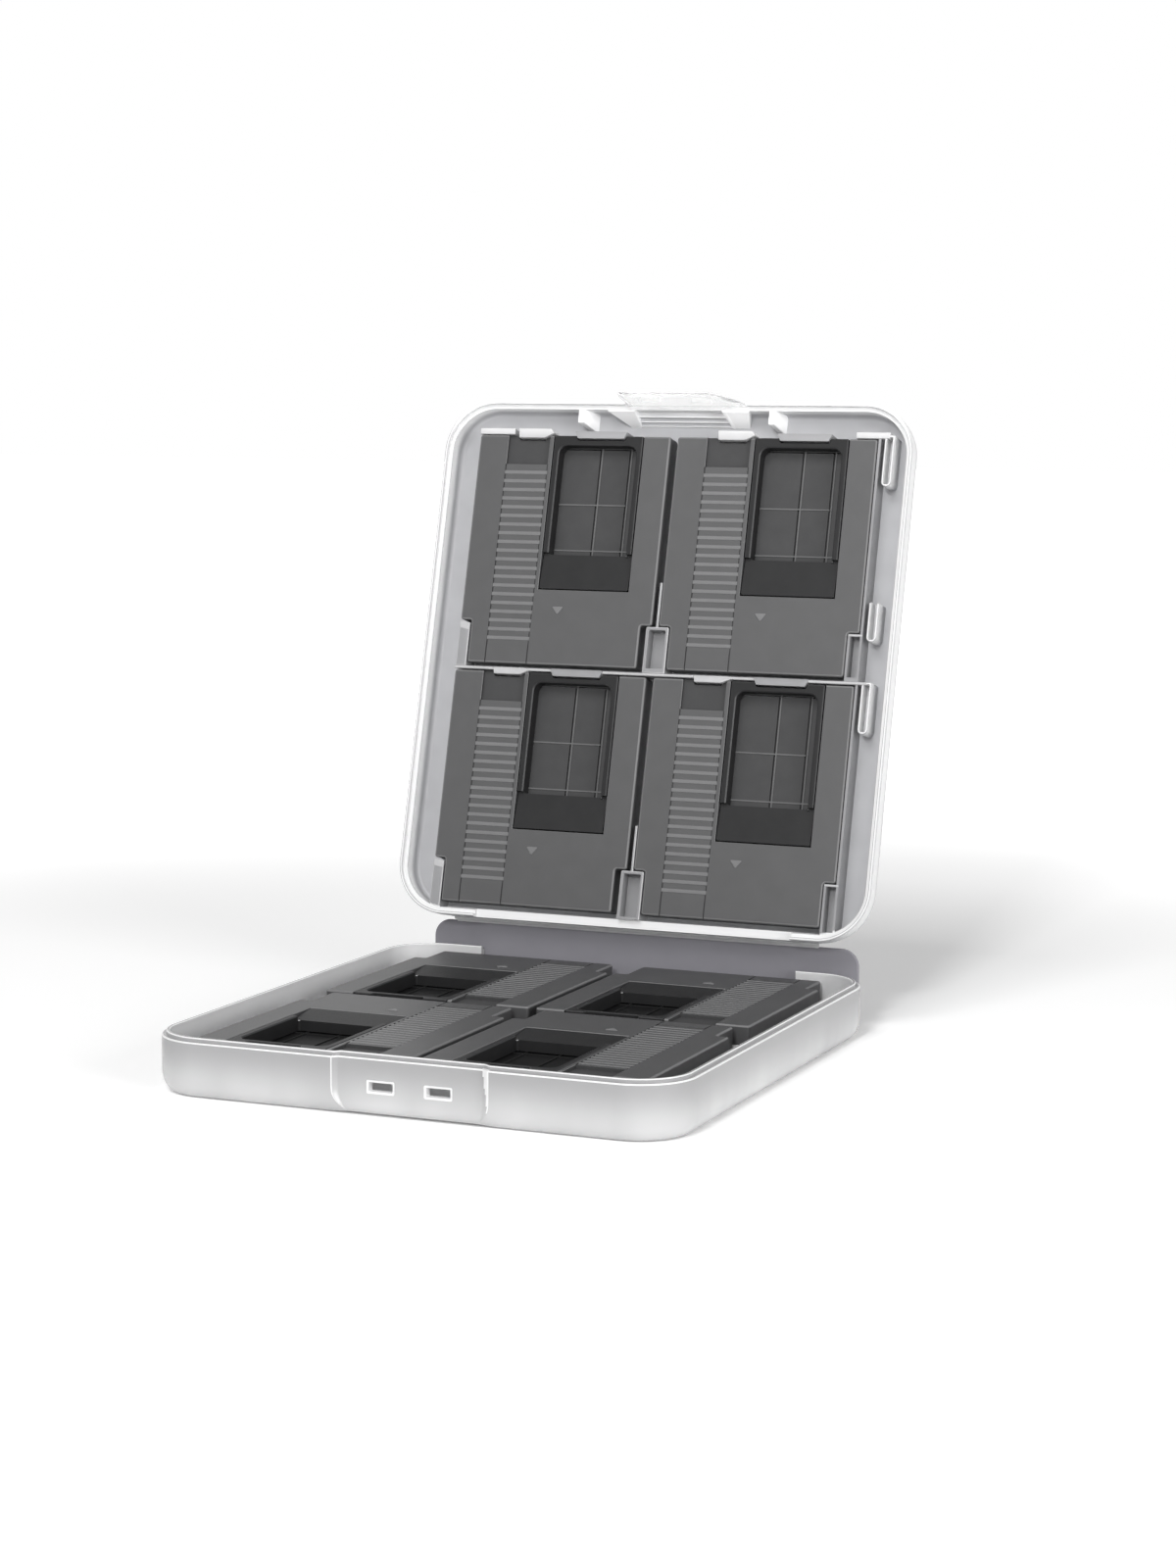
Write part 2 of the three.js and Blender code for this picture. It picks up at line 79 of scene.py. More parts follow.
# The part of a noise's range that a finish uses, and the octaves of its noises
NOISE_MIDDLE = (0.3, 0.7)
CLOUD_DETAIL = 4
GRAIN_DETAIL = 2
BUMP_STRENGTH = 0.5
# The mix node's colour inputs and output go by number, since it has several of each name
MIX_FIRST = 6
MIX_SECOND = 7
MIX_RESULT = 2
WHITE = (1, 1, 1, 1)
LID_HINGE = (76.3, 23.0)
LID_TURN = math.pi / 2 - math.radians(14.72)
WORLD = Matrix.Identity(4)
# Turns a shape drawn as X and Z so that its heights run towards -Y
UPRIGHT = Matrix(((1, 0, 0, 0), (0, 0, -1, 0), (0, 1, 0, 0), (0, 0, 0, 1)))
# Turns a shape drawn as Y and Z so that its heights run along +X
SIDEWAYS = Matrix(((0, 0, 1, 0), (1, 0, 0, 0), (0, 1, 0, 0), (0, 0, 0, 1)))


class Surface(IntEnum):
    """Which of a piece's three finishes a face takes."""

    FACE = 0
    EDGE = 1
    DEEP = 2


class Slot(Enum):
    """The record's material slots."""

    FROSTED = "frosted_plastic"
    SPINE = "spine_plastic"
    GREY = "grey_plastic"
    DARK = "dark_plastic"


def rectangle(left: float, right: float, bottom: float, top: float) -> Outline:
    """Returns a rectangle, counter-clockwise from its lower left corner."""
    return [(left, bottom), (right, bottom), (right, top), (left, top)]


def filleted(outline: Outline, radii: float | Sequence[float], steps: int = 4) -> Outline:
    """Rounds the corners of an outline.

    Args:
        outline: Corner points, counter-clockwise.
        radii: One radius for all corners, or one for each; zero keeps a corner sharp.
        steps: Segments in each rounded corner.

    Returns:
        The outline with an arc in place of each rounded corner.
    """
    sizes = [radii] * len(outline) if isinstance(radii, (int, float)) else radii
    points: Outline = []
    for index, (corner, radius) in enumerate(zip(outline, sizes)):
        if radius <= 0:
            points.append(corner)
            continue
        here = Vector(corner)
        back = (Vector(outline[index - 1]) - here).normalized()
        ahead = (Vector(outline[(index + 1) % len(outline)]) - here).normalized()
        half = back.angle(ahead) / 2
        centre = here + (back + ahead).normalized() * (radius / math.sin(half))
        first = here + back * (radius / math.tan(half)) - centre
        last = here + ahead * (radius / math.tan(half)) - centre
        sweep = first.angle(last)
        for step in range(steps + 1):
            share = step / steps
            spoke = first * math.sin((1 - share) * sweep) + last * math.sin(share * sweep)
            points.append(tuple(centre + spoke / math.sin(sweep)))
    return points


def grown(outline: Outline, distance: float) -> Outline:
    """Moves an outline outwards, or inwards where the distance is negative.

    Args:
        outline: Corner points, counter-clockwise.
        distance: How far each side moves.

    Returns:
        The moved outline.
    """
    if distance == 0:
        return list(outline)
    points: Outline = []
    for index, corner in enumerate(outline):
        here = Vector(corner)
        into = (here - Vector(outline[index - 1])).normalized()
        away = (Vector(outline[(index + 1) % len(outline)]) - here).normalized()
        first = Vector((into.y, -into.x))
        second = Vector((away.y, -away.x))
        points.append(tuple(here + (first + second) * (distance / (1 + first.dot(second)))))
    return points


def bend(start: Point, corner: Point, end: Point, steps: int = 4) -> list[Point]:
    """Draws a quarter of an ellipse that is tangent to the lines through a corner.

    Args:
        start: Where it begins.
        corner: Where the two lines meet.
        end: Where it ends.
        steps: Segments in it.

    Returns:
        The points from start to end.
    """
    centre = [s + e - c for s, c, e in zip(start, corner, end)]
    points: list[Point] = []
    for step in range(steps + 1):
        angle = math.pi / 2 * step / steps
        cos, sin = math.cos(angle), math.sin(angle)
        points.append(tuple(m + ((s - m) * cos + (e - m) * sin) for s, m, e in zip(start, centre, end)))
    return points


@dataclass
class Ring:
    """One level of a lofted solid; its surface covers the band up to the next ring."""

    outline: Outline
    height: float
    surface: Surface = Surface.FACE


class Solid:
    """A closed mesh in millimetres that can be joined to others and cut by them."""

    def __init__(self, mesh: Mesh) -> None:
        """Starts from one closed mesh."""
        self.mesh = mesh
        self.steps: list[tuple[str, Mesh]] = []

    @classmethod
    def loft(
        cls,
        rings: Sequence[Ring],
        turn: Matrix = WORLD,
        closed: bool = False,
        bright: Callable[[int, int], bool] | None = None,
        caps: Surface = Surface.FACE,
    ) -> Solid:
        """Skins a row of rings that have the same number of points.

        Args:
            rings: The levels, from one end to the other.
            turn: Where the solid goes once it is drawn.
            closed: Whether the last ring joins the first, as round a frame, in place of end caps.
            bright: Says whether the face at a band and column takes the edge finish.
            caps: Finish of the two ends.

        Returns:
            The solid.
        """
        builder = bmesh.new()
        loops = []
        for ring in rings:
            spots = [turn @ Vector((x, y, ring.height)) for x, y in ring.outline]
            loops.append([builder.verts.new(spot) for spot in spots])
        uppers = loops[1:] + loops[:1] if closed else loops[1:]
        for band, (low, high) in enumerate(zip(loops, uppers)):
            for column in range(len(low)):
                after = (column + 1) % len(low)
                face = builder.faces.new((low[column], low[after], high[after], high[column]))
                lit = bright is not None and bright(band, column)
                face.material_index = Surface.EDGE if lit else rings[band].surface
        if not closed:
            builder.faces.new(loops[0][::-1]).material_index = caps
            builder.faces.new(loops[-1]).material_index = caps
        bmesh.ops.recalc_face_normals(builder, faces=builder.faces)
        mesh = bpy.data.meshes.new("shape")
        for _ in Surface:
            mesh.materials.append(None)
        builder.to_mesh(mesh)
        builder.free()
        return cls(mesh)

    @classmethod
    def slab(
        cls,
        outline: Outline,
        low: float,
        high: float,
        top: float = 0.0,
        bottom: float = 0.0,
        turn: Matrix = WORLD,
        skin: Surface = Surface.FACE,
    ) -> Solid:
        """Raises an outline between two heights, with rounded rims in the edge finish.

        Args:
            outline: The shape, counter-clockwise.
            low: Height of its underside.
            high: Height of its top.
            top: Radius of the upper rim.
            bottom: Radius of the lower rim.
            turn: Where the solid goes once it is drawn.
            skin: Finish of the sides and the two ends.

        Returns:
            The solid.
        """
        lower = bend((bottom, 0), (0, 0), (0, bottom), SOFT_STEPS) if bottom > 0 else [(0, 0)]
        upper = bend((0, -top), (0, 0), (top, 0), SOFT_STEPS) if top > 0 else [(0, 0)]
        rings = [Ring(grown(outline, -inset), low + rise, Surface.EDGE) for inset, rise in lower]
        rings[-1].surface = skin
        rings += [Ring(grown(outline, -inset), high + rise, Surface.EDGE) for inset, rise in upper]
        return cls.loft(rings, turn, caps=skin)

    @classmethod
    def mouth(
        cls, outline: Outline, low: float, level: float, chamfer: Point, skin: Surface = Surface.FACE
    ) -> Solid:
        """A cutting tool whose opening spreads where it leaves a surface.

        Args:
            outline: The opening's shape.
            low: Height at which the tool ends inside the material.
            level: Height of the surface that it cuts.
            chamfer: How far the opening grows at that surface, and over which depth.
            skin: Finish of the cut's sides and floor.

        Returns:
            The tool.
        """
        spread, depth = chamfer
        wider = grown(outline, 2 * spread)
        rings = [
            Ring(outline, low, skin),
            Ring(outline, level - depth, Surface.EDGE),
            Ring(wider, level + depth),
            Ring(wider, level + depth + 2 * BITE),
        ]
        return cls.loft(rings, caps=skin)

    @classmethod
    def bar(cls, radius: float, half: float, y: float, z: float) -> Solid:
        """A round bar along X, about the middle of the case.

        Args:
            radius: Its radius.
            half: Half its length.
            y: Place of its axis along Y.
            z: Height of its axis.

        Returns:
            The bar.
        """
        angles = [side * 2 * math.pi / BAR_SIDES for side in range(BAR_SIDES)]
        outline = [(y + radius * math.cos(angle), z + radius * math.sin(angle)) for angle in angles]
        return cls.loft([Ring(outline, -half), Ring(outline, half)], SIDEWAYS)

    def join(self, *others: Solid) -> Solid:
        """Adds other solids to this one."""
        self.steps += [("UNION", other.baked()) for other in others]
        return self

    def cut(self, *others: Solid) -> Solid:
        """Takes other solids away from this one."""
        self.steps += [("DIFFERENCE", other.baked()) for other in others]
        return self

    def baked(self) -> Mesh:
        """Makes all joins and cuts.

        Returns:
            The plain mesh.
        """
        if not self.steps:
            return self.mesh
        carrier = linked("carrier", self.mesh)
        helpers = []
        for operation, mesh in self.steps:
            helper = linked("helper", mesh)
            helpers.append(helper)
            modifier = carrier.modifiers.new(operation, "BOOLEAN")
            modifier.operation = operation
            modifier.object = helper
            modifier.solver = "MANIFOLD"
            modifier.material_mode = "INDEX"
        self.mesh = plain_mesh(carrier)
        self.steps = []
        for helper in helpers:
            bpy.data.objects.remove(helper)
        return self.mesh


def linked(name: str, data: bpy.types.ID) -> Object:
    """Adds an object to the scene.

    Args:
        name: Its name.
        data: What it shows.

    Returns:
        The object.
    """
    item = bpy.data.objects.new(name, data)
    bpy.context.scene.collection.objects.link(item)
    return item


def plain_mesh(carrier: Object) -> Mesh:
    """Applies an object's modifiers and removes the object.

    Args:
        carrier: The object.

    Returns:
        Its mesh.
    """
    graph = bpy.context.evaluated_depsgraph_get()
    shown = carrier.evaluated_get(graph)
    mesh = bpy.data.meshes.new_from_object(shown, preserve_all_data_layers=True, depsgraph=graph)
    bpy.data.objects.remove(carrier)
    return mesh


class Sheet:
    """A node tree that is filled in with short calls."""

    def __init__(self, tree: NodeTree) -> None:
        """Starts from an empty tree."""
        self.tree = tree
        tree.nodes.clear()

    def add(
        self, kind: str, inputs: Mapping[str | int, object] | None = None, **settings: object
    ) -> bpy.types.NodeOutputs:
        """Adds a node.

        Args:
            kind: The node's type.
            inputs: A value, or another node's output, for each input that is used.
            settings: The node's properties.

        Returns:
            The node's outputs.
        """
        node = self.tree.nodes.new(kind)
        for name, value in settings.items():
            setattr(node, name, value)
        for key, value in (inputs or {}).items():
            if isinstance(value, NodeSocket):
                self.tree.links.new(value, node.inputs[key])
            else:
                node.inputs[key].default_value = value
        return node.outputs

    def noise(self, spot: NodeSocket, size: float, detail: float) -> NodeSocket:
        """Adds a noise whose patches are about the given size in millimetres."""
        inputs = {"Vector": spot, "Scale": 1 / (size * MM), "Detail": detail}
        return self.add("ShaderNodeTexNoise", inputs)["Fac"]

    def spread(self, value: NodeSocket, low: float, high: float) -> NodeSocket:
        """Maps the middle of a noise to a range."""
        ends = zip(("From Min", "From Max", "To Min", "To Max"), (*NOISE_MIDDLE, low, high))
        return self.add("ShaderNodeMapRange", {"Value": value, **dict(ends)})["Result"]

    def blend(self, share: NodeSocket, first: Colour | NodeSocket, second: Colour) -> NodeSocket:
        """Mixes two colours.

        Args:
            share: Share of the second.
            first: The first, which may come from another node.
            second: The second.

        Returns:
            The mixed colour.
        """
        start = (*first, 1) if isinstance(first, tuple) else first
        inputs = {"Factor": share, MIX_FIRST: start, MIX_SECOND: (*second, 1)}
        return self.add("ShaderNodeMix", inputs, data_type="RGBA")[MIX_RESULT]


def grey(level: float, tint: float = 0.0) -> Colour:
    """Returns a grey with a little more blue."""
    return level, level, level + tint


@dataclass(frozen=True)
class Plastic:
    """A moulded plastic with mottled colour, an uneven sheen and a fine grain."""

    name: str
    deep: Colour
    pale: Colour
    roughness: tuple[float, float]
    mottle: float
    grain: float = 0.25
    relief: float = 0.012
    transmission: float = 0.0
    specular: float = 0.5
    ior: float = 1.49

    def colour(self, sheet: Sheet, spot: NodeSocket) -> NodeSocket:
        """Adds the nodes of the mottled colour."""
        cloud = sheet.noise(spot, self.mottle, CLOUD_DETAIL)
        return sheet.blend(sheet.spread(cloud, 0, 1), self.deep, self.pale)

    def material(self) -> Material:
        """Makes the finish's material on first use.

        Returns:
            The material.
        """
        known = bpy.data.materials.get(self.name)
        if known is not None:
            return known
        material = bpy.data.materials.new(self.name)
        material.use_nodes = True
        sheet = Sheet(material.node_tree)
        spot = sheet.add("ShaderNodeTexCoord")["Object"]
        grain = sheet.noise(spot, self.grain, GRAIN_DETAIL)
        bump = {"Strength": BUMP_STRENGTH, "Distance": self.relief * MM, "Height": grain}
        inputs = {
            "Base Color": self.colour(sheet, spot),
            "Roughness": sheet.spread(grain, *self.roughness),
            "Normal": sheet.add("ShaderNodeBump", bump)["Normal"],
            "Transmission Weight": self.transmission,
            "Specular IOR Level": self.specular,
            "IOR": self.ior,
        }
        surface = sheet.add("ShaderNodeBsdfPrincipled", inputs)["BSDF"]
        sheet.add("ShaderNodeOutputMaterial", {"Surface": surface})
        return material


@dataclass(frozen=True)
class FrostedPlastic(Plastic):
    """A milky plastic whose tone runs along one axis of a tray as painted light and shade, with faint upright
    streaks.
    """

    rim: Colour = grey(0.9)
    span: Point = (0.0, 10.0)
    axis: str = "Z"
    hinge: Point = (0.0, 0.0)
    turn: float = 0.0
    stretch: float = 0.15

    def colour(self, sheet: Sheet, spot: NodeSocket) -> NodeSocket:
        """Adds the nodes that tell the place in the tray and paint light and shade into the colour by it.

        Args:
            sheet: The material's node tree.
            spot: The place on the piece.

        Returns:
            The colour.
        """
        corner = (0, self.hinge[0] * MM, self.hinge[1] * MM)
        frame = {"Vector": spot, "Location": corner, "Rotation": (self.turn, 0, 0)}
        tray = sheet.add("ShaderNodeMapping", frame, vector_type="TEXTURE")["Vector"]
        along = sheet.add("ShaderNodeSeparateXYZ", {0: tray})[self.axis]
        run = {"Value": along, "From Min": self.span[0] * MM, "From Max": self.span[1] * MM}
        share = sheet.add("ShaderNodeMapRange", run, interpolation_type="SMOOTHSTEP")["Result"]
        upright = sheet.add("ShaderNodeMapping", {"Vector": tray, "Scale": (1, 1, self.stretch)})["Vector"]
        streak = sheet.noise(upright, self.mottle, GRAIN_DETAIL)
        low = sheet.blend(sheet.spread(streak, 0, 1), self.deep, self.pale)
        return sheet.blend(share, low, self.rim)


# Paler low on the walls and darker towards the rim: painted shade of the dark holders seen through the wall;
# the upright streaks are the plastic's own uneven tone.
BASE_FROSTED = FrostedPlastic(
    "base_frosted", grey(0.57, 0.004), grey(0.77, 0.003), (0.2, 0.26), 26.0, 0.35, 0.005, 0.3, 0.6,
    rim=grey(0.41, 0.004), span=(1.0, 14.0), stretch=0.12,
)
# Lighter than the tray's walls: on the tray's rims, the step's edges and the slot borders it paints
# highlights; on the fold strips it is their plain colour.
BASE_RIM = Plastic("base_rim", grey(0.74, 0.004), grey(0.8, 0.003), (0.32, 0.44), 4.0, 0.3, 0.01, 0.1)
# A paler copy of the base plastic for the tray's inner walls, guides and ribs: painted light that lifts them
# out of their shade.
BASE_INSIDE_PAINTED_LIGHT = Plastic(
    "base_inside_painted_light", grey(0.9, 0.005), grey(0.95, 0.005), (0.36, 0.46), 9.0, 0.35, 0.01, 0.5, 0.4
)
# Grey on the floor and low on the walls, paling to near white at the rim: the grey is painted shade inside
# the lid.
LID_FROSTED = FrostedPlastic(
    "lid_frosted", (0.48, 0.482, 0.498), (0.52, 0.522, 0.538), (0.36, 0.46), 9.0, 0.35, 0.01, 0.3, 0.4,
    rim=grey(0.92, 0.002), span=(2.0, 5.6), hinge=LID_HINGE, turn=LID_TURN,
)
# A greyer copy of the lid plastic for its rims, ribs, tabs and wedges: painted shade, paling to near white
# towards the front wall as painted light on the wedges there.
LID_EDGE = FrostedPlastic(
    "lid_edge", grey(0.42, 0.006), grey(0.47, 0.006), (0.32, 0.42), 4.0, 0.3, 0.01, 0.1, 0.4,
    rim=grey(0.97, 0.002), span=(140.0, 149.0), axis="Y", hinge=LID_HINGE, turn=LID_TURN,
)
# A still darker copy of the lid plastic for its posts, pockets, dividers and fences: painted shade.
LID_GUIDE_PAINTED_SHADE = FrostedPlastic(
    "lid_guide_painted_shade", grey(0.28, 0.008), grey(0.31, 0.008), (0.34, 0.44), 5.0, 0.3, 0.01, 0.25, 0.4,
    rim=grey(0.36, 0.008), span=(120.0, 142.0), axis="Y", hinge=LID_HINGE, turn=LID_TURN,
)
TONGUE_CLEAR = Plastic(
    "tongue_clear", grey(0.945, 0.002), grey(0.955, 0.002), (0.1, 0.14), 5.0, 0.3, 0.001, 0.95, 0.1, 1.05
)
TONGUE_MILKY = Plastic(
    "tongue_milky", grey(0.97, 0.002), grey(0.99), (0.2, 0.28), 4.0, 0.3, 0.001, 0.6, 0.15, 1.06
)
SPINE_GREY = Plastic(
    "spine_sheet", (0.196, 0.192, 0.212), (0.206, 0.202, 0.222), (0.45, 0.55), 8.0, 0.3, 0.015, specular=0.3
)
HOLDER_GREY = Plastic("holder_plastic", grey(0.051, 0.0013), grey(0.057, 0.0013), (0.42, 0.52), 6.0)
# A lighter copy of the holder plastic for its rims, chamfers and arrow: painted highlight.
HOLDER_EDGE_HIGHLIGHT = Plastic(
    "holder_edge_highlight", grey(0.135, 0.002), grey(0.145, 0.002), (0.38, 0.48), 4.0, relief=0.01, specular=0.35
)
# A darker copy of the holder plastic for the band's pocket and edge lines: painted shade.
HOLDER_RECESS_SHADE = Plastic("holder_recess_painted_shade", grey(0.042, 0.001), grey(0.047, 0.001), (0.5, 0.6), 5.0, specular=0.2)
WELL_GREY = Plastic("well_floor", grey(0.043, 0.001), grey(0.049, 0.001), (0.45, 0.55), 5.0, specular=0.2)
# Lighter ridges and rims on the back cover: painted highlight.
WELL_RIDGE_HIGHLIGHT = Plastic("well_line", grey(0.105, 0.001), grey(0.12, 0.001), (0.45, 0.55), 3.0, specular=0.2)
# Darker grooves in the back cover: painted shade.
WELL_GROOVE_SHADE = Plastic("well_groove_painted_shade", grey(0.022, 0.0005), grey(0.026, 0.0005), (0.5, 0.6), 3.0, specular=0.15)
# Nearly black copies of the well floor and its ridges: painted shade for the wells of the holders in the
# base.
WELL_FLOOR_PAINTED_SHADE = Plastic(
    "well_floor_in_painted_shade", grey(0.004, 0.0002), grey(0.006, 0.0002), (0.5, 0.6), 5.0, specular=0.1
)
WELL_RIDGE_PAINTED_SHADE = Plastic(
    "well_ridge_in_painted_shade", grey(0.014, 0.0002), grey(0.017, 0.0002), (0.5, 0.6), 3.0, specular=0.1
)
FRAME_DARK = Plastic(
    "surround_plastic", grey(0.014, 0.0005), grey(0.017, 0.0005), (0.42, 0.52), 5.0, specular=0.16
)
# A lighter copy of the surround's plastic for its rims and the well's chamfer: painted highlight.
FRAME_EDGE_HIGHLIGHT = Plastic(
    "surround_edge_highlight", grey(0.026, 0.001), grey(0.03, 0.001), (0.34, 0.42), 3.0, relief=0.01, specular=0.25
)
# A pale dot on a small nub at each well's corner: painted glint.
NUB_GLINT = Plastic("surround_painted_glint", grey(0.4, 0.005), grey(0.46, 0.005), (0.25, 0.35), 2.0, relief=0.01)


@dataclass(frozen=True)
class Finish:
    """The finishes of a piece, in the order of the surfaces, and the record's slot of them."""

    face: Plastic
    edge: Plastic
    deep: Plastic
    slot: Slot


BASE_FINISH = Finish(BASE_FROSTED, BASE_RIM, BASE_INSIDE_PAINTED_LIGHT, Slot.FROSTED)
LID_FINISH = Finish(LID_FROSTED, LID_EDGE, LID_GUIDE_PAINTED_SHADE, Slot.FROSTED)
TONGUE_FINISH = Finish(TONGUE_CLEAR, TONGUE_MILKY, TONGUE_MILKY, Slot.FROSTED)
FOLD_FINISH = Finish(BASE_RIM, BASE_RIM, BASE_RIM, Slot.FROSTED)
SPINE_FINISH = Finish(SPINE_GREY, SPINE_GREY, SPINE_GREY, Slot.SPINE)
HOLDER_FINISH = Finish(HOLDER_GREY, HOLDER_EDGE_HIGHLIGHT, HOLDER_RECESS_SHADE, Slot.GREY)
WELL_FINISH = Finish(WELL_GREY, WELL_RIDGE_HIGHLIGHT, WELL_GROOVE_SHADE, Slot.GREY)
WELL_PAINTED_SHADE_FINISH = Finish(WELL_FLOOR_PAINTED_SHADE, WELL_RIDGE_PAINTED_SHADE, WELL_GROOVE_SHADE, Slot.GREY)
FRAME_FINISH = Finish(FRAME_DARK, FRAME_EDGE_HIGHLIGHT, NUB_GLINT, Slot.DARK)


def cleaned(mesh: Mesh) -> Mesh:
    """Merges a mesh's doubled points, drops its empty faces and turns the others outwards.

    Args:
        mesh: The mesh to clean.

    Returns:
        The same mesh.
    """
    builder = bmesh.new()
    builder.from_mesh(mesh)
    bmesh.ops.remove_doubles(builder, verts=builder.verts, dist=MERGE)
    bmesh.ops.dissolve_degenerate(builder, dist=MERGE, edges=builder.edges)
    bmesh.ops.recalc_face_normals(builder, faces=builder.faces)
    builder.to_mesh(mesh)
    builder.free()
    return mesh


def smoothed(solid: Solid, finish: Finish) -> Mesh:
    """Cleans a finished solid, shades it and gives it its materials.

    Args:
        solid: The shape.
        finish: Its finishes.

    Returns:
        A mesh in millimetres that is ready to be placed.
    """
    mesh = cleaned(solid.baked())
    for surface, plastic in zip(Surface, (finish.face, finish.edge, finish.deep)):
        mesh.materials[surface] = plastic.material()
    mesh.shade_smooth()
    mesh.set_sharp_from_angle(angle=SHARP_ANGLE)
    carrier = linked("carrier", mesh)
    even = carrier.modifiers.new("even", "WEIGHTED_NORMAL")
    even.keep_sharp = True
    even.weight = EVEN_WEIGHT
    return plain_mesh(carrier)


def place(name: str, mesh: Mesh, where: Matrix, body: str, node: str, finish: Finish) -> None:
    """Puts a shaped mesh in the row frame as a piece.

    Args:
        name: The piece's name.
        mesh: Its mesh in millimetres; the piece gets a copy.
        where: The sub-assembly's frame, in millimetres.
        body: The CAD body that carries it.
        node: The CAD node that it stands for.
        finish: Its finishes; not used.
    """
    own = mesh.copy()
    own.name = name
    own.transform(Matrix.Scale(MM, 4) @ where)
    piece = linked(name, own)
    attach(piece, body)
    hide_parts(node)
    LOG.info("%s rides on %s with %d faces", name, body, len(own.polygons))


@dataclass(frozen=True)
class CaseSizes:
    """Sizes that the sub-assemblies share."""

    width: float = 144.0
    depth: float = 152.6
    wall: float = 2.2
    corner: float = 15.0
    corner_steps: int = 20
    inner_round: float = 1.2
    gap: float = 0.3
    back: float = LID_HINGE[0]
    lower_hinge: float = 1.5
    upper_hinge: float = LID_HINGE[1]
    hinge_width: float = 112.0
    land_height: float = 6.0
    land_inset: float = 0.15
    land_overlap: float = 0.3
    land_rims: Point = (0.4, 0.3)
    bead: float = 0.6
    seat: float = 0.9
    cutout_width: float = 96.4
    cutout_shift: float = 1.5
    latch_shift: float = 2.5
    slot_width: float = 6.9
    slot_spacing: float = 15.5
    column_pitch: float = 62.4
    row_pitch: float = 70.4
    first_row: float = 4.0
    holder_height: float = 68.0
    holders_half_width: float = 61.3

    def outline(self, inset: float) -> Outline:
        """Draws the case's outline about the origin.

        Args:
            inset: How far it is moved in from the outside.

        Returns:
            The outline.
        """
        x = self.width / 2 - inset
        y = self.depth / 2 - inset
        return filleted(rectangle(-x, x, -y, y), self.corner - inset, self.corner_steps)

    def lid_frame(self) -> Matrix:
        """Returns the frame of the lid: Y runs to its latch and Z from the outside inwards."""
        hinge = Matrix.Translation((0, self.back, self.upper_hinge))
        return hinge @ Matrix.Rotation(LID_TURN, 4, "X")

    def cutout(self) -> Point:
        """Returns the left and right end of the hinge cut-out in a rim."""
        half = self.cutout_width / 2
        return self.cutout_shift - half, self.cutout_shift + half

    def hinge_land(self, near: float, far: float) -> Solid:
        """Shapes the land of a fold.

        Args:
            near: Where it starts along Y.
            far: Where it ends.

        Returns:
            The land.
        """
        half = self.hinge_width / 2 + 2 * self.gap
        top, bottom = self.land_rims
        return Solid.slab(rectangle(-half, half, near, far), self.land_inset, self.land_height, top, bottom)

    def fold_seat(self, y: float, z: float) -> Solid:
        """Returns the tool that cuts the seat of a fold's bead."""
        return Solid.bar(self.seat, self.hinge_width / 2 + self.gap, y, z)


def rim_section(rims: Sequence[list[Point]]) -> list[tuple[Point, Surface]]:
    """Marks the rounded runs of a rim as bright edges and the flats between them as faces.

    Args:
        rims: The runs, as insets and heights.

    Returns:
        The points with the surface that follows each.
    """
    section: list[tuple[Point, Surface]] = []
    for run in rims:
        section += [(point, Surface.EDGE) for point in run]
        section[-1] = (run[-1], Surface.FACE)
    return section


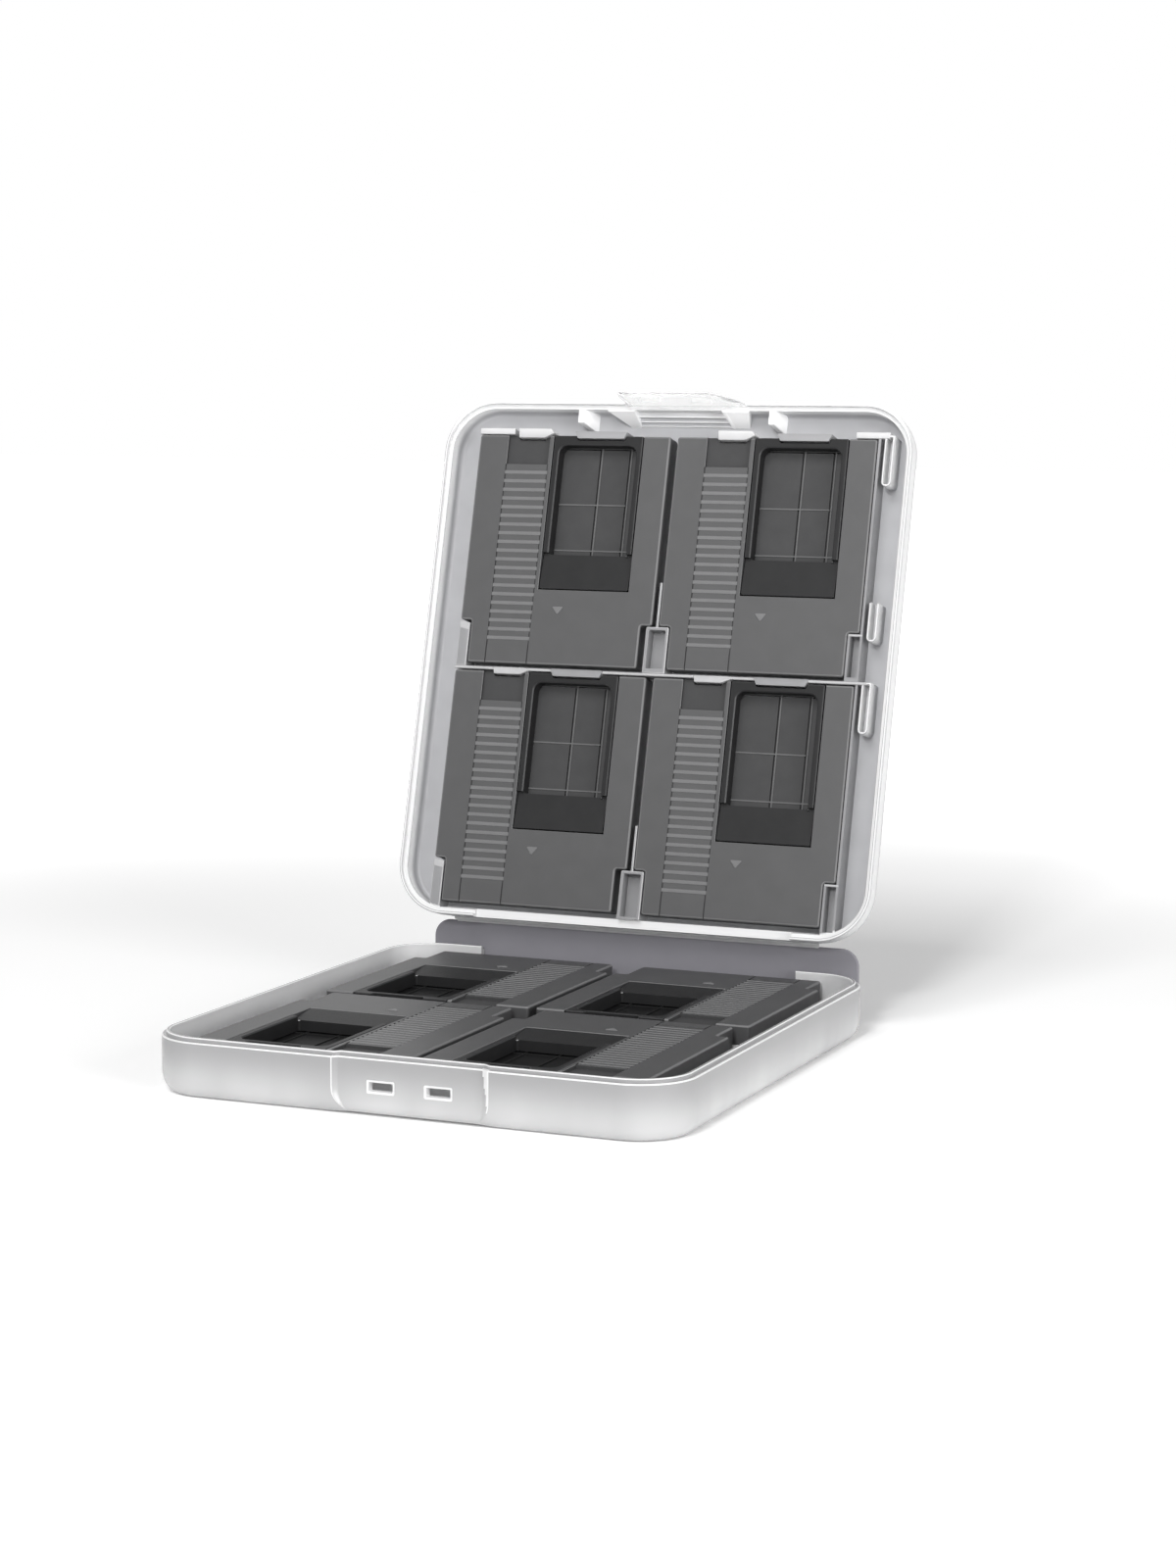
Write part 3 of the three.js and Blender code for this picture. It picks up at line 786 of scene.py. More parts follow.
@dataclass
class BaseTray:
    """The base: a tray whose front wall steps in where the latch tongue lies."""

    case: CaseSizes
    height: float = 14.3
    floor: float = 1.6
    edge_round: float = 3.2
    edge_rise: float = 5.5
    rim_round: float = 0.35
    lip: float = 1.0
    lip_height: float = 1.0
    lip_round: float = 0.25
    step_left: float = -16.75
    step_right: float = 21.75
    step_depth: float = 1.2
    step_runs: Point = (1.5, 2.4)
    step_least_run: float = 0.05
    step_drift: Point = (2.6, 0.8)
    step_fade: float = 7.0
    step_point: float = 2.5
    step_samples: int = 6
    wall_levels: tuple[float, ...] = (1.4, 2.8, 4.2, 5.6, 7.0)
    slot_height: float = 2.7
    slot_level: float = 7.3
    slot_depth: float = 4.0
    slot_border: float = 0.35
    slot_border_depth: float = 0.12
    slot_border_height: float = 2.0
    slot_inset: float = 0.2
    slot_fillets: Point = (0.4, 0.2)
    support_height: float = 5.7
    support_thickness: float = 1.6
    support_fillet: float = 0.6
    support_spacing: float = 36.0
    support_reach: float = 29.0
    guide_top: float = 8.4
    guide_thickness: float = 1.2
    guide_step: float = 0.2
    guide_end: float = 5.0
    middle_guide: Point = (-0.5, 0.5)
    cutout_depth: float = 4.5
    cutout_fillet: float = 0.8

    def outline(self, inset: float, height: float) -> Outline:
        """Returns the outline at one level, with the step in the front wall.

        Args:
            inset: How far the level lies in from the outside.
            height: The level's height, which fades the step towards the rounded lower edge.

        Returns:
            The outline, counter-clockwise, with the step's points first.
        """
        outside = inset < self.case.wall
        depth = max(self.step_depth - (inset if outside and height < self.edge_rise else 0), 0.0)
        least = self.step_least_run
        left_run, right_run = (max(run * depth / self.step_depth, least) for run in self.step_runs)
        fall = max(1 - height / self.step_fade, 0.0) ** 2 if outside else 0.0
        start = self.step_left + self.step_drift[0] * fall
        stop = self.step_right - self.step_drift[1] * fall
        front = inset - self.case.depth / 2
        left: Outline = []
        right: Outline = []
        for sample in range(self.step_samples + 1):
            share = sample / self.step_samples
            rise = depth * share * share * (3 - 2 * share)
            left.append((start - left_run * (1 - share), front + rise))
            right.append((stop + right_run * (1 - share), front + rise))
        plain = self.case.outline(inset)
        corner = self.case.corner_steps + 1
        return left + right[::-1] + plain[corner:] + plain[:corner]

    def profile(self) -> list[tuple[Point, Surface]]:
        """Draws the wall's section, from the underside to the inner floor.

        Returns:
            Insets and heights, with the surface that follows each.
        """
        wall = self.case.wall
        inner = self.case.inner_round
        lip = wall - self.lip
        top = self.height + self.lip_height
        rim = self.rim_round
        soft = self.lip_round
        face = bend((self.edge_round, 0), (0, 0), (0, self.edge_rise), EDGE_STEPS)
        face += [(0.0, self.edge_rise + rise) for rise in self.wall_levels]
        rims = [
            bend((0, self.height - rim), (0, self.height), (rim, self.height)),
            [(lip, self.height)],
            bend((lip, top - soft), (lip, top), (lip + soft, top), SOFT_STEPS),
            bend((wall - soft, top), (wall, top), (wall, top - soft), SOFT_STEPS),
        ]
        low = bend((wall, self.floor + inner), (wall, self.floor), (wall + inner, self.floor))
        section = [(point, Surface.FACE) for point in face] + rim_section(rims)
        section[-1] = (section[-1][0], Surface.DEEP)
        return section + [(point, Surface.DEEP) for point in low]

    def shell(self) -> Solid:
        """Shapes the bare tray.

        Returns:
            The tray.
        """
        last = 2 * self.step_samples + 1
        section = self.profile()

        def bright(band: int, column: int) -> bool:
            """Says whether a face lies on the step's rims, which take the lighter edge finish as painted
            highlight lines; the right one tapers downwards.

            Args:
                band: The ring below the face.
                column: The face's place round the ring.

            Returns:
                True on the rims.
            """
            inset, height = section[band][0]
            if inset > self.case.wall / 2:
                return False
            share = (height - self.step_point) / (self.height - self.step_point)
            right = round(self.step_samples * min(max(share, 0.0), 1.0))
            return column == 0 or last - right <= column < last

        rings = [Ring(self.outline(*point), point[1], surface) for point, surface in section]
        return Solid.loft(rings, bright=bright)

    def guides(self) -> list[Solid]:
        """Shapes the support ribs and the low guides round the holders.

        Returns:
            The solids to join.
        """
        case = self.case
        foot = self.floor - BITE
        head = case.back - case.first_row
        half = self.support_thickness / 2
        parts: list[Solid] = []
        for column, row, side in product((-1, 1), (0, 1), (-1, 1)):
            middle = head - case.holder_height / 2 - row * case.row_pitch
            x = (column * case.column_pitch + side * self.support_spacing) / 2
            shape = rectangle(x - half, x + half, middle - self.support_reach, middle + self.support_reach)
            rib = filleted(shape, self.support_fillet)
            parts.append(Solid.slab(rib, foot, self.floor + self.support_height, skin=Surface.DEEP))
        thick = self.guide_thickness
        outside = case.holders_half_width + case.gap
        reach = outside + thick / 2
        near = head - case.row_pitch - case.holder_height - case.gap
        middle = head - case.holder_height - (case.row_pitch - case.holder_height) / 2
        across = ((middle - thick / 2, middle + thick / 2), (near - thick, near))
        along = (self.middle_guide, (outside, outside + thick), (-outside - thick, -outside))
        tall = [rectangle(-reach, reach, *span) for span in across]
        short = [rectangle(*span, near - thick / 2, head - self.guide_end) for span in along]
        for shapes, top in ((tall, self.guide_top), (short, self.guide_top - self.guide_step)):
            parts += [Solid.slab(shape, foot, top, skin=Surface.DEEP) for shape in shapes]
        return parts

    def latch_slots(self) -> list[Solid]:
        """Shapes the tools that cut the two latch slots and their pale borders, which paint a highlight round
        each slot.

        Returns:
            The tools.
        """
        case = self.case
        half = case.slot_width / 2
        rise = self.slot_height / 2
        face = case.back - self.step_depth
        ledge = face - self.slot_border_depth
        outer, inner = self.slot_fillets
        tools: list[Solid] = []
        for side in (-1, 1):
            x = case.latch_shift + side * case.slot_spacing / 2
            shape = rectangle(x - half, x + half, self.slot_level - rise, self.slot_level + rise)
            border = filleted(grown(shape, self.slot_border), outer, SOFT_STEPS)
            hole = filleted(grown(shape, -self.slot_inset), inner, SOFT_STEPS)
            for tool, low, high in (
                (border, ledge, face + self.slot_border_height),
                (hole, face - self.slot_depth, face),
            ):
                tools.append(Solid.slab(tool, low, high, turn=UPRIGHT, skin=Surface.EDGE))
        return tools

    def hinge_cuts(self) -> list[Solid]:
        """Shapes the tools for the cut-out in the back rim and the seat of the lower fold.

        Returns:
            The tools.
        """
        case = self.case
        low = self.height - self.cutout_depth
        high = self.height + self.lip_height + BITE
        fillets = (self.cutout_fillet, self.cutout_fillet, 0, 0)
        opening = filleted(rectangle(*case.cutout(), low, high), fillets)
        half = case.hinge_width / 2 + case.gap
        mouth = rectangle(-half, half, case.back - case.seat, case.back + BITE)
        return [
            Solid.slab(opening, -case.back - BITE, -case.back + case.wall + BITE, turn=UPRIGHT),
            case.fold_seat(case.back, case.lower_hinge),
            Solid.slab(mouth, -BITE, case.lower_hinge),
        ]

    def build(self) -> None:
        """Shapes the base and places it."""
        case = self.case
        land = case.hinge_land(case.back - case.wall - case.land_overlap, case.back - case.land_inset)
        tray = self.shell().join(land, *self.guides()).cut(*self.latch_slots(), *self.hinge_cuts())
        place("base_tray", smoothed(tray, BASE_FINISH), WORLD, "base", "base_shell", BASE_FINISH)


@dataclass(frozen=True)
class Wedge:
    """One wedge against the lid's front wall: where its head and foot lie, and how tall it is."""

    head: Point
    foot: Point
    starts: Point
    top: float


@dataclass
class LidTray:
    """The lid: a tray with guides, tabs, posts and wedges inside."""

    case: CaseSizes
    height: float = 8.4
    floor: float = 1.4
    edge_round: float = 3.5
    edge_rise: float = 4.35
    rim_round: float = 0.3
    soft: float = 0.25
    rebate_inset: float = 0.9
    rebate_trim: float = 0.1
    rebate_end: float = 2.5
    rebate_level: float = 7.1
    rebate_lift: float = 0.02
    cutout_depth: float = 2.5
    guide_thickness: float = 1.2
    rib_top: float = 8.0
    rib_middle: float = 7.9
    rib_ends: Point = (-50.2, 55.0)
    rib_bands: tuple[Point, Point] = ((0.35, 1.15), (0.15, 1.9))
    tab_top: float = 8.2
    tab_depth: float = 0.85
    tab_fillet: float = 0.2
    narrow_tab: Point = (-17.8, -6.3)
    tab_lean: float = 0.4
    tab_slant: float = 3.1
    tab_kink: float = 1 / 3
    wide_tab: Point = (0.3, 16.8)
    post_top: float = 7.8
    post_step: float = 0.1
    post_height: float = 12.2
    post_width: float = 6.9
    post_shift: float = 0.9
    post_wall: float = 0.9
    post_pocket: float = 4.0
    post_chamfer: Point = (0.12, 0.2)
    post_fillets: tuple[float, ...] = (0, 0, 0.4, 0.4)
    pocket_fillet: float = 0.3
    side_block: Point = (58.1, 61.3)
    side_post: Point = (58.1, 62.3)
    side_rib: float = 0.7
    block_cap: float = 2.2
    block_slope: float = 0.6
    divider_top: float = 7.6
    divider_length: float = 13.0
    divider_thickness: float = 0.7
    divider_shift: float = 0.6
    return_gap: float = 1.8
    return_width: float = 3.0
    return_length: float = 14.7
    return_wall: float = 0.65
    return_overlap: float = 2.0
    return_fillets: tuple[float, ...] = (1.4, 1.4, 0.5, 0.3)
    return_room_fillets: tuple[float, ...] = (0.65, 0.65, 0.3, 0.3)
    lower_return: float = 11.2
    tongue_seat_half: float = 18.55
    tongue_seat_from: float = 151.4
    tongue_seat_low: float = 3.1
    wedge_fillet: float = 0.3
    wedges: tuple[Wedge, ...] = (
        Wedge(head=(-30.9, -29.0), foot=(-28.3, -26.3), starts=(146.5, 144.6), top=6.9),
        Wedge(head=(-21.8, -13.3), foot=(-16.2, -12.8), starts=(149.9, 146.5), top=7.2),
        Wedge(head=(13.5, 14.9), foot=(15.2, 16.4), starts=(149.9, 146.5), top=7.2),
        Wedge(head=(14.5, 21.8), foot=(16.0, 20.8), starts=(149.9, 146.6), top=7.0),
        Wedge(head=(28.0, 29.8), foot=(29.9, 31.9), starts=(146.5, 144.6), top=6.9),
    )
    stair_half: float = 16.0
    stair_starts: tuple[float, ...] = (146.7, 147.8, 148.9)
    stair_tops: tuple[float, ...] = (1.9, 2.9, 4.4)

    def outline(self, inset: float) -> Outline:
        """Returns the lid's outline, with Y counted from the hinge."""
        return [(x, y + self.case.depth / 2) for x, y in self.case.outline(inset)]

    def shell(self) -> Solid:
        """Shapes the bare tray with its stepped rim.

        Returns:
            The tray.
        """
        inner = self.case.inner_round
        wall = self.case.wall
        top = self.height
        rim = self.rim_round
        soft = self.soft
        step = self.rebate_inset
        ledge = self.rebate_level
        edge = bend((self.edge_round, 0), (0, 0), (0, self.edge_rise), EDGE_STEPS)
        rims = [
            bend((0, top - rim), (0, top), (rim, top)),
            bend((step - soft, top), (step, top), (step, top - soft), SOFT_STEPS),
            [(step, ledge)],
            bend((wall - soft, ledge), (wall, ledge), (wall, ledge - soft), SOFT_STEPS),
        ]
        low = bend((wall, self.floor + inner), (wall, self.floor), (wall + inner, self.floor))
        section = [(point, Surface.FACE) for point in edge] + rim_section(rims)
        section += [(point, Surface.FACE) for point in low]
        return Solid.loft([Ring(self.outline(p[0]), p[1], surface) for p, surface in section])

    def slab(self, outline: Outline, top: float, skin: Surface = Surface.FACE) -> Solid:
        """Raises a guide from the floor, with a soft bright upper rim."""
        return Solid.slab(outline, self.floor - BITE, top, self.soft, skin=skin)

    def shaded_slab(self, outline: Outline, top: float) -> Solid:
        """Raises a guide from the floor in the darker deep finish, which is painted shade, with a sharp upper
        rim.
        """
        return Solid.slab(outline, self.floor - BITE, top, skin=Surface.DEEP)

    def hollow_post(self, outline: Outline, pocket: Outline, skin: Surface) -> Solid:
        """Returns a post with a pocket in its end."""
        tool = Solid.mouth(pocket, self.post_top - self.post_pocket, self.post_top, self.post_chamfer, skin)
        return self.slab(outline, self.post_top, skin).cut(tool)

    def row_rib(self, row: int) -> list[Solid]:
        """Shapes the rib above a row of holders, tall at its ends, and its four tabs.

        Args:
            row: 0 for the row at the hinge, and 1 for the other.

        Returns:
            The solids to join.
        """
        case = self.case
        row_top = case.first_row + row * case.row_pitch + case.holder_height
        left = -case.holders_half_width
        right = case.holders_half_width + case.gap + self.return_gap + self.return_width / 2
        runs = [(left, self.rib_ends[0], self.rib_top), (self.rib_ends[1], right, self.rib_top)]
        if row == 0:
            runs.append((left, right, self.rib_middle))
        near, far = (row_top + edge for edge in self.rib_bands[row])
        parts = [self.slab(rectangle(start, stop, near, far), top, Surface.EDGE) for start, stop, top in runs]
        low = row_top - self.tab_depth
        high = row_top + self.guide_thickness
        lean = (high - low) / 2
        for column in (-1, 1):
            x = column * case.column_pitch / 2
            start, stop = (x + edge for edge in self.narrow_tab)
            narrow = [
                (start + self.tab_lean, low),
                (stop - self.tab_slant, low),
                (stop, row_top + self.rib_bands[row][1] * self.tab_kink),
                (stop - self.guide_thickness, far),
                (start, far),
            ]
            soft = filleted(narrow, self.tab_fillet, SMALL_STEPS)
            parts.append(self.slab(soft, self.tab_top, Surface.EDGE))
            start, stop = (x + edge for edge in self.wide_tab)
            wide = [(start + lean, low), (stop - lean, low), (stop, high), (start, high)]
            parts.append(self.shaded_slab(filleted(wide, self.tab_fillet, SMALL_STEPS), self.tab_top))
        return parts

    def posts(self, row: int) -> list[Solid]:
        """Shapes the posts, the divider and the right-hand returns of one row.

        Args:
            row: 0 for the row at the hinge, and 1 for the other.

        Returns:
            The solids to join.
        """
        case = self.case
        wall = self.post_wall
        bottom = case.first_row + row * case.row_pitch
        foot = case.wall - BITE if row == 0 else bottom - self.guide_thickness
        top = bottom + self.post_height
        low_top = self.post_top - self.post_step
        near, far = self.side_block
        cap = top - self.block_cap
        slope = self.block_slope
        peak = [(-far, cap), (-near, cap - slope), (-near, top - slope), (-far, top)]
        left = self.post_shift - self.post_width / 2
        right = self.post_shift + self.post_width / 2
        body = filleted(rectangle(left, right, foot, top), self.post_fillets, SOFT_STEPS)
        pocket = rectangle(left + wall, right - wall, foot + wall + BITE, top - wall)
        parts = [
            self.slab(rectangle(-far, -near, foot, cap + BITE), low_top, Surface.DEEP),
            self.slab(filleted(peak, self.post_fillets, SOFT_STEPS), self.post_top, Surface.EDGE),
            self.hollow_post(body, filleted(pocket, self.pocket_fillet, SMALL_STEPS), Surface.DEEP),
        ]
        rim = self.return_wall
        near, far = self.side_post
        room = rectangle(near + rim, far - rim, foot + rim + BITE, top - rim)
        tool = Solid.slab(room, self.post_top - self.post_pocket, self.post_top + BITE, skin=Surface.DEEP)
        thin = self.divider_thickness / 2
        divider = rectangle(
            self.divider_shift - thin, self.divider_shift + thin, top - BITE, top + self.divider_length
        )
        row_top = bottom + case.holder_height + self.guide_thickness
        edge = case.holders_half_width + case.gap
        fence = rectangle(edge, edge + self.side_rib, top - BITE, row_top)
        parts += [
            self.shaded_slab(rectangle(near, far, foot, top), low_top).cut(tool),
            self.slab(rectangle(near, far, top - rim, top), self.post_top, Surface.EDGE),
            self.slab(divider, self.divider_top, Surface.DEEP),
            self.shaded_slab(fence, self.divider_top),
        ]
        first = edge + self.return_gap
        last = first + self.return_width
        spans = [(row_top - self.return_length, row_top, row_top - rim)]
        if row == 1:
            start = top - self.return_overlap
            spans.append((start, start + self.lower_return, start + self.lower_return + BITE))
        for start, end, ceiling in spans:
            hook = filleted(rectangle(first, last, start, end), self.return_fillets, ROUND_STEPS)
            inside = rectangle(first + rim, last - rim, start + rim, ceiling)
            room = filleted(inside, self.return_room_fillets)
            parts.append(self.hollow_post(hook, room, Surface.FACE))
        return parts

    def wedge(self, shape: Wedge) -> Solid:
        """Shapes a wedge that runs from the floor up the lid's front wall.

        Args:
            shape: Its sizes.

        Returns:
            The wedge.
        """
        end = self.case.depth - self.case.wall + BITE
        head, foot = (
            filleted(rectangle(*span, start, end), self.wedge_fillet, SOFT_STEPS)
            for span, start in zip((shape.head, shape.foot), shape.starts)
        )
        levels = ((foot, self.floor - BITE / 2), (foot, self.floor), (head, shape.top))
        # The edge finish pales towards the front wall, painting light on the wedges that stand against it.
        return Solid.loft([Ring(*level, Surface.EDGE) for level in levels], caps=Surface.EDGE)

    def stairs(self) -> list[Solid]:
        """Shapes the low stairs along the front wall behind the tongue.

        Returns:
            The solids to join.
        """
        half = self.stair_half
        end = self.case.depth - self.case.wall + BITE
        steps = zip(self.stair_starts, self.stair_tops)
        return [self.slab(rectangle(-half, half, start, end), top) for start, top in steps]

    def cuts(self) -> list[Solid]:
        """Shapes the tools for the rebate, hinge cut-out, tongue seat and fold seat.

        Returns:
            The tools.
        """
        case = self.case
        outer = self.outline(self.rebate_inset + self.rebate_trim)
        inner = self.outline(self.rebate_end)
        level = self.rebate_level + self.rebate_lift
        above = self.height + BITE
        rebate = [Ring(outer, level), Ring(inner, level), Ring(inner, above), Ring(outer, above)]
        opening = rectangle(*case.cutout(), -BITE, case.wall + case.gap)
        left = case.latch_shift - self.tongue_seat_half
        right = case.latch_shift + self.tongue_seat_half
        hold = rectangle(left, right, self.tongue_seat_from, case.depth + BITE)
        return [
            Solid.loft(rebate, closed=True),
            Solid.slab(opening, self.height - self.cutout_depth, above),
            Solid.slab(hold, self.tongue_seat_low, above),
            case.fold_seat(0, 0),
        ]

    def build(self) -> None:
        """Shapes the lid and places it."""
        case = self.case
        parts = [case.hinge_land(case.land_inset, case.wall + case.land_overlap)]
        for row in (0, 1):
            parts += self.row_rib(row) + self.posts(row)
        parts += [self.wedge(shape) for shape in self.wedges]
        tray = self.shell().join(*parts, *self.stairs()).cut(*self.cuts())
        place("lid_tray", smoothed(tray, LID_FINISH), case.lid_frame(), "lid", "lid_shell", LID_FINISH)


@dataclass
class LatchTongue:
    """The springy tongue on the lid, with two hooks."""

    case: CaseSizes
    half_width: float = 18.25
    face: float = 151.7
    thickness: float = 1.4
    root: float = 3.4
    end: float = 18.25
    slant: float = 6.6
    slant_start: float = 9.0
    slant_shares: Point = (0.25, 0.125)
    fillets: tuple[float, ...] = (0.3, 0.3, 5.0, 2.5, 2.0)
    rims: Point = (0.3, 0.45)
    hook_reach: float = 1.0
    hook_level: float = 15.7
    hook_half: float = 1.05
    hook_fillets: tuple[float, ...] = (0, 0, 0, 0.2, 0.15)
    hook_rim: float = 0.12

    def build(self) -> None:
        """Shapes the tongue and places it."""
        case = self.case
        left = case.latch_shift - self.half_width
        right = case.latch_shift + self.half_width
        right_kink, left_lean = (self.slant * share for share in self.slant_shares)
        corners = [
            (left, self.root),
            (right, self.root),
            (right - right_kink, self.slant_start),
            (right - self.slant, self.end),
            (left + left_lean, self.end),
        ]
        shape = filleted(corners, self.fillets, WIDE_STEPS)
        plate = Solid.slab(shape, -self.face - self.thickness, -self.face, *self.rims, turn=UPRIGHT)
        low = self.hook_level - self.hook_half
        high = self.hook_level + self.hook_half
        tip = self.face - self.hook_reach
        profile = [
            (self.face + BITE, low),
            (self.face + BITE, high),
            (self.face, high),
            (tip, self.hook_level - self.hook_half / 2),
            (tip, low),
        ]
        soft = filleted(profile, self.hook_fillets, SOFT_STEPS)
        half = case.slot_width / 2 - case.gap
        rims = (self.hook_rim, self.hook_rim)
        for side in (-1, 1):
            x = case.latch_shift + side * case.slot_spacing / 2
            plate.join(Solid.slab(soft, x - half, x + half, *rims, turn=SIDEWAYS, skin=Surface.EDGE))
        mesh = smoothed(plate, TONGUE_FINISH)
        place("tongue", mesh, case.lid_frame(), "latch", "latch_tongue", TONGUE_FINISH)


@dataclass
class Spine:
    """The spine leaf and the two fold strips along it."""

    case: CaseSizes
    width: float = 130.0
    shift: float = 2.2
    low: float = 2.4
    high: float = 22.1
    thickness: float = 1.2
    end_radius: float = 5.0
    rims: Point = (0.35, 0.35)
    strip: float = 0.4
    strip_reach: float = 0.25
    strip_shift: float = 0.15
    strip_inset: float = 0.5

    def leaf(self) -> None:
        """Shapes the spine leaf and places it."""
        near = self.case.back + self.case.gap
        half = self.width / 2
        outline = rectangle(self.shift - half, self.shift + half, self.low, self.high)
        shape = filleted(outline, self.end_radius, EDGE_STEPS)
        panel = Solid.slab(shape, -near - self.thickness, -near, *self.rims, turn=UPRIGHT)
        mesh = smoothed(panel, SPINE_FINISH)
        place("spine_leaf", mesh, WORLD, "spine", "spine_panel", SPINE_FINISH)

    def fold(self, name: str, node: str, level: float, towards: float) -> None:
        """Shapes a fold strip: a bead along the fold line and a thin web up to the leaf.

        Args:
            name: The piece's name.
            node: The CAD node that it stands for.
            level: Height of the fold line.
            towards: 1 where the leaf lies above the fold line, and -1 where it lies below.
        """
        case = self.case
        half = case.hinge_width / 2
        thin = self.strip / 2
        bead = Solid.bar(case.bead, half, case.back, level)
        far = case.back + case.gap + self.strip_shift
        end = level + towards * (case.seat + self.strip_reach)
        web = [(case.back - thin, level), (case.back + thin, level), (far + thin, end), (far - thin, end)]
        short = half - self.strip_inset
        bead.join(Solid.slab(web if towards > 0 else web[::-1], -short, short, turn=SIDEWAYS))
        mesh = smoothed(bead, FOLD_FINISH)
        place(name, mesh, WORLD, "spine", node, FOLD_FINISH)

    def build(self) -> None:
        """Makes the leaf and both fold strips."""
        self.leaf()
        self.fold("lower_fold", "lower_hinge_web", self.case.lower_hinge, 1)
        self.fold("upper_fold", "upper_hinge_web", self.case.upper_hinge, -1)


@dataclass
class GripRibs:
    """The ribs across a holder's band, laid in a row by a node tree."""

    left: float = -20.9
    right: float = -7.7
    overlap: float = 0.12
    first: float = -28.6
    pitch: float = 2.6
    count: int = 20
    width: float = 1.1
    low: float = 4.6
    high: float = 5.9
    fillet: float = 0.16
    fillet_steps: int = 4

    def tree(self) -> NodeTree:
        """Builds the node tree that makes one rib and repeats it.

        Returns:
            The tree.
        """
        tree = bpy.data.node_groups.new("grip_ribs", "GeometryNodeTree")
        kinds = dict.fromkeys(("Length", "Width", "Height", "Fillet"), "NodeSocketFloat")
        kinds |= {"Count": "NodeSocketInt", "Start": "NodeSocketVector", "Step": "NodeSocketVector"}
        for name, kind in kinds.items():
            tree.interface.new_socket(name=name, in_out="INPUT", socket_type=kind)
        tree.interface.new_socket(name="Ribs", in_out="OUTPUT", socket_type="NodeSocketGeometry")
        sheet = Sheet(tree)
        given = sheet.add("NodeGroupInput")
        size = {"Width": given["Width"], "Height": given["Height"]}
        section = sheet.add("GeometryNodeCurvePrimitiveQuadrilateral", size, mode="RECTANGLE")["Curve"]
        corner = {"Curve": section, "Radius": given["Fillet"], "Count": self.fillet_steps}
        profile = sheet.add("GeometryNodeFilletCurve", corner, mode="POLY")["Curve"]
        line = {"Length": given["Length"], "Direction": (1, 0, 0)}
        path = sheet.add("GeometryNodeCurvePrimitiveLine", line, mode="DIRECTION")["Curve"]
        sweep = {"Curve": path, "Profile Curve": profile, "Fill Caps": True}
        rib = sheet.add("GeometryNodeCurveToMesh", sweep)["Mesh"]
        spots = {"Count": given["Count"], "Start Location": given["Start"], "Offset": given["Step"]}
        row = sheet.add("GeometryNodeMeshLine", spots, mode="OFFSET")["Mesh"]
        copies = sheet.add("GeometryNodeInstanceOnPoints", {"Points": row, "Instance": rib})["Instances"]
        real = sheet.add("GeometryNodeRealizeInstances", {"Geometry": copies})["Geometry"]
        coat = {"Geometry": real, "Material": HOLDER_GREY.material()}
        coated = sheet.add("GeometryNodeSetMaterial", coat)["Geometry"]
        sheet.add("NodeGroupOutput", {"Ribs": coated})
        return tree

    def solid(self) -> Solid:
        """Runs the node tree.

        Returns:
            The row of ribs as one plain mesh.
        """
        tree = self.tree()
        carrier = linked("carrier", bpy.data.meshes.new("carrier"))
        modifier = carrier.modifiers.new("ribs", "NODES")
        modifier.node_group = tree
        middle = (self.low + self.high) / 2
        values = {
            "Length": self.right - self.left + 2 * self.overlap,
            "Width": self.width,
            "Height": self.high - self.low,
            "Fillet": self.fillet,
            "Count": self.count,
            "Start": (self.left - self.overlap, self.first + self.pitch - self.width / 2, middle),
            "Step": (0.0, self.pitch, 0.0),
        }
        for item in tree.interface.items_tree:
            if item.in_out == "INPUT":
                modifier[item.identifier] = values[item.name]
        mesh = cleaned(plain_mesh(carrier))
        for _ in range(len(Surface) - len(mesh.materials)):
            mesh.materials.append(None)
        return Solid(mesh)


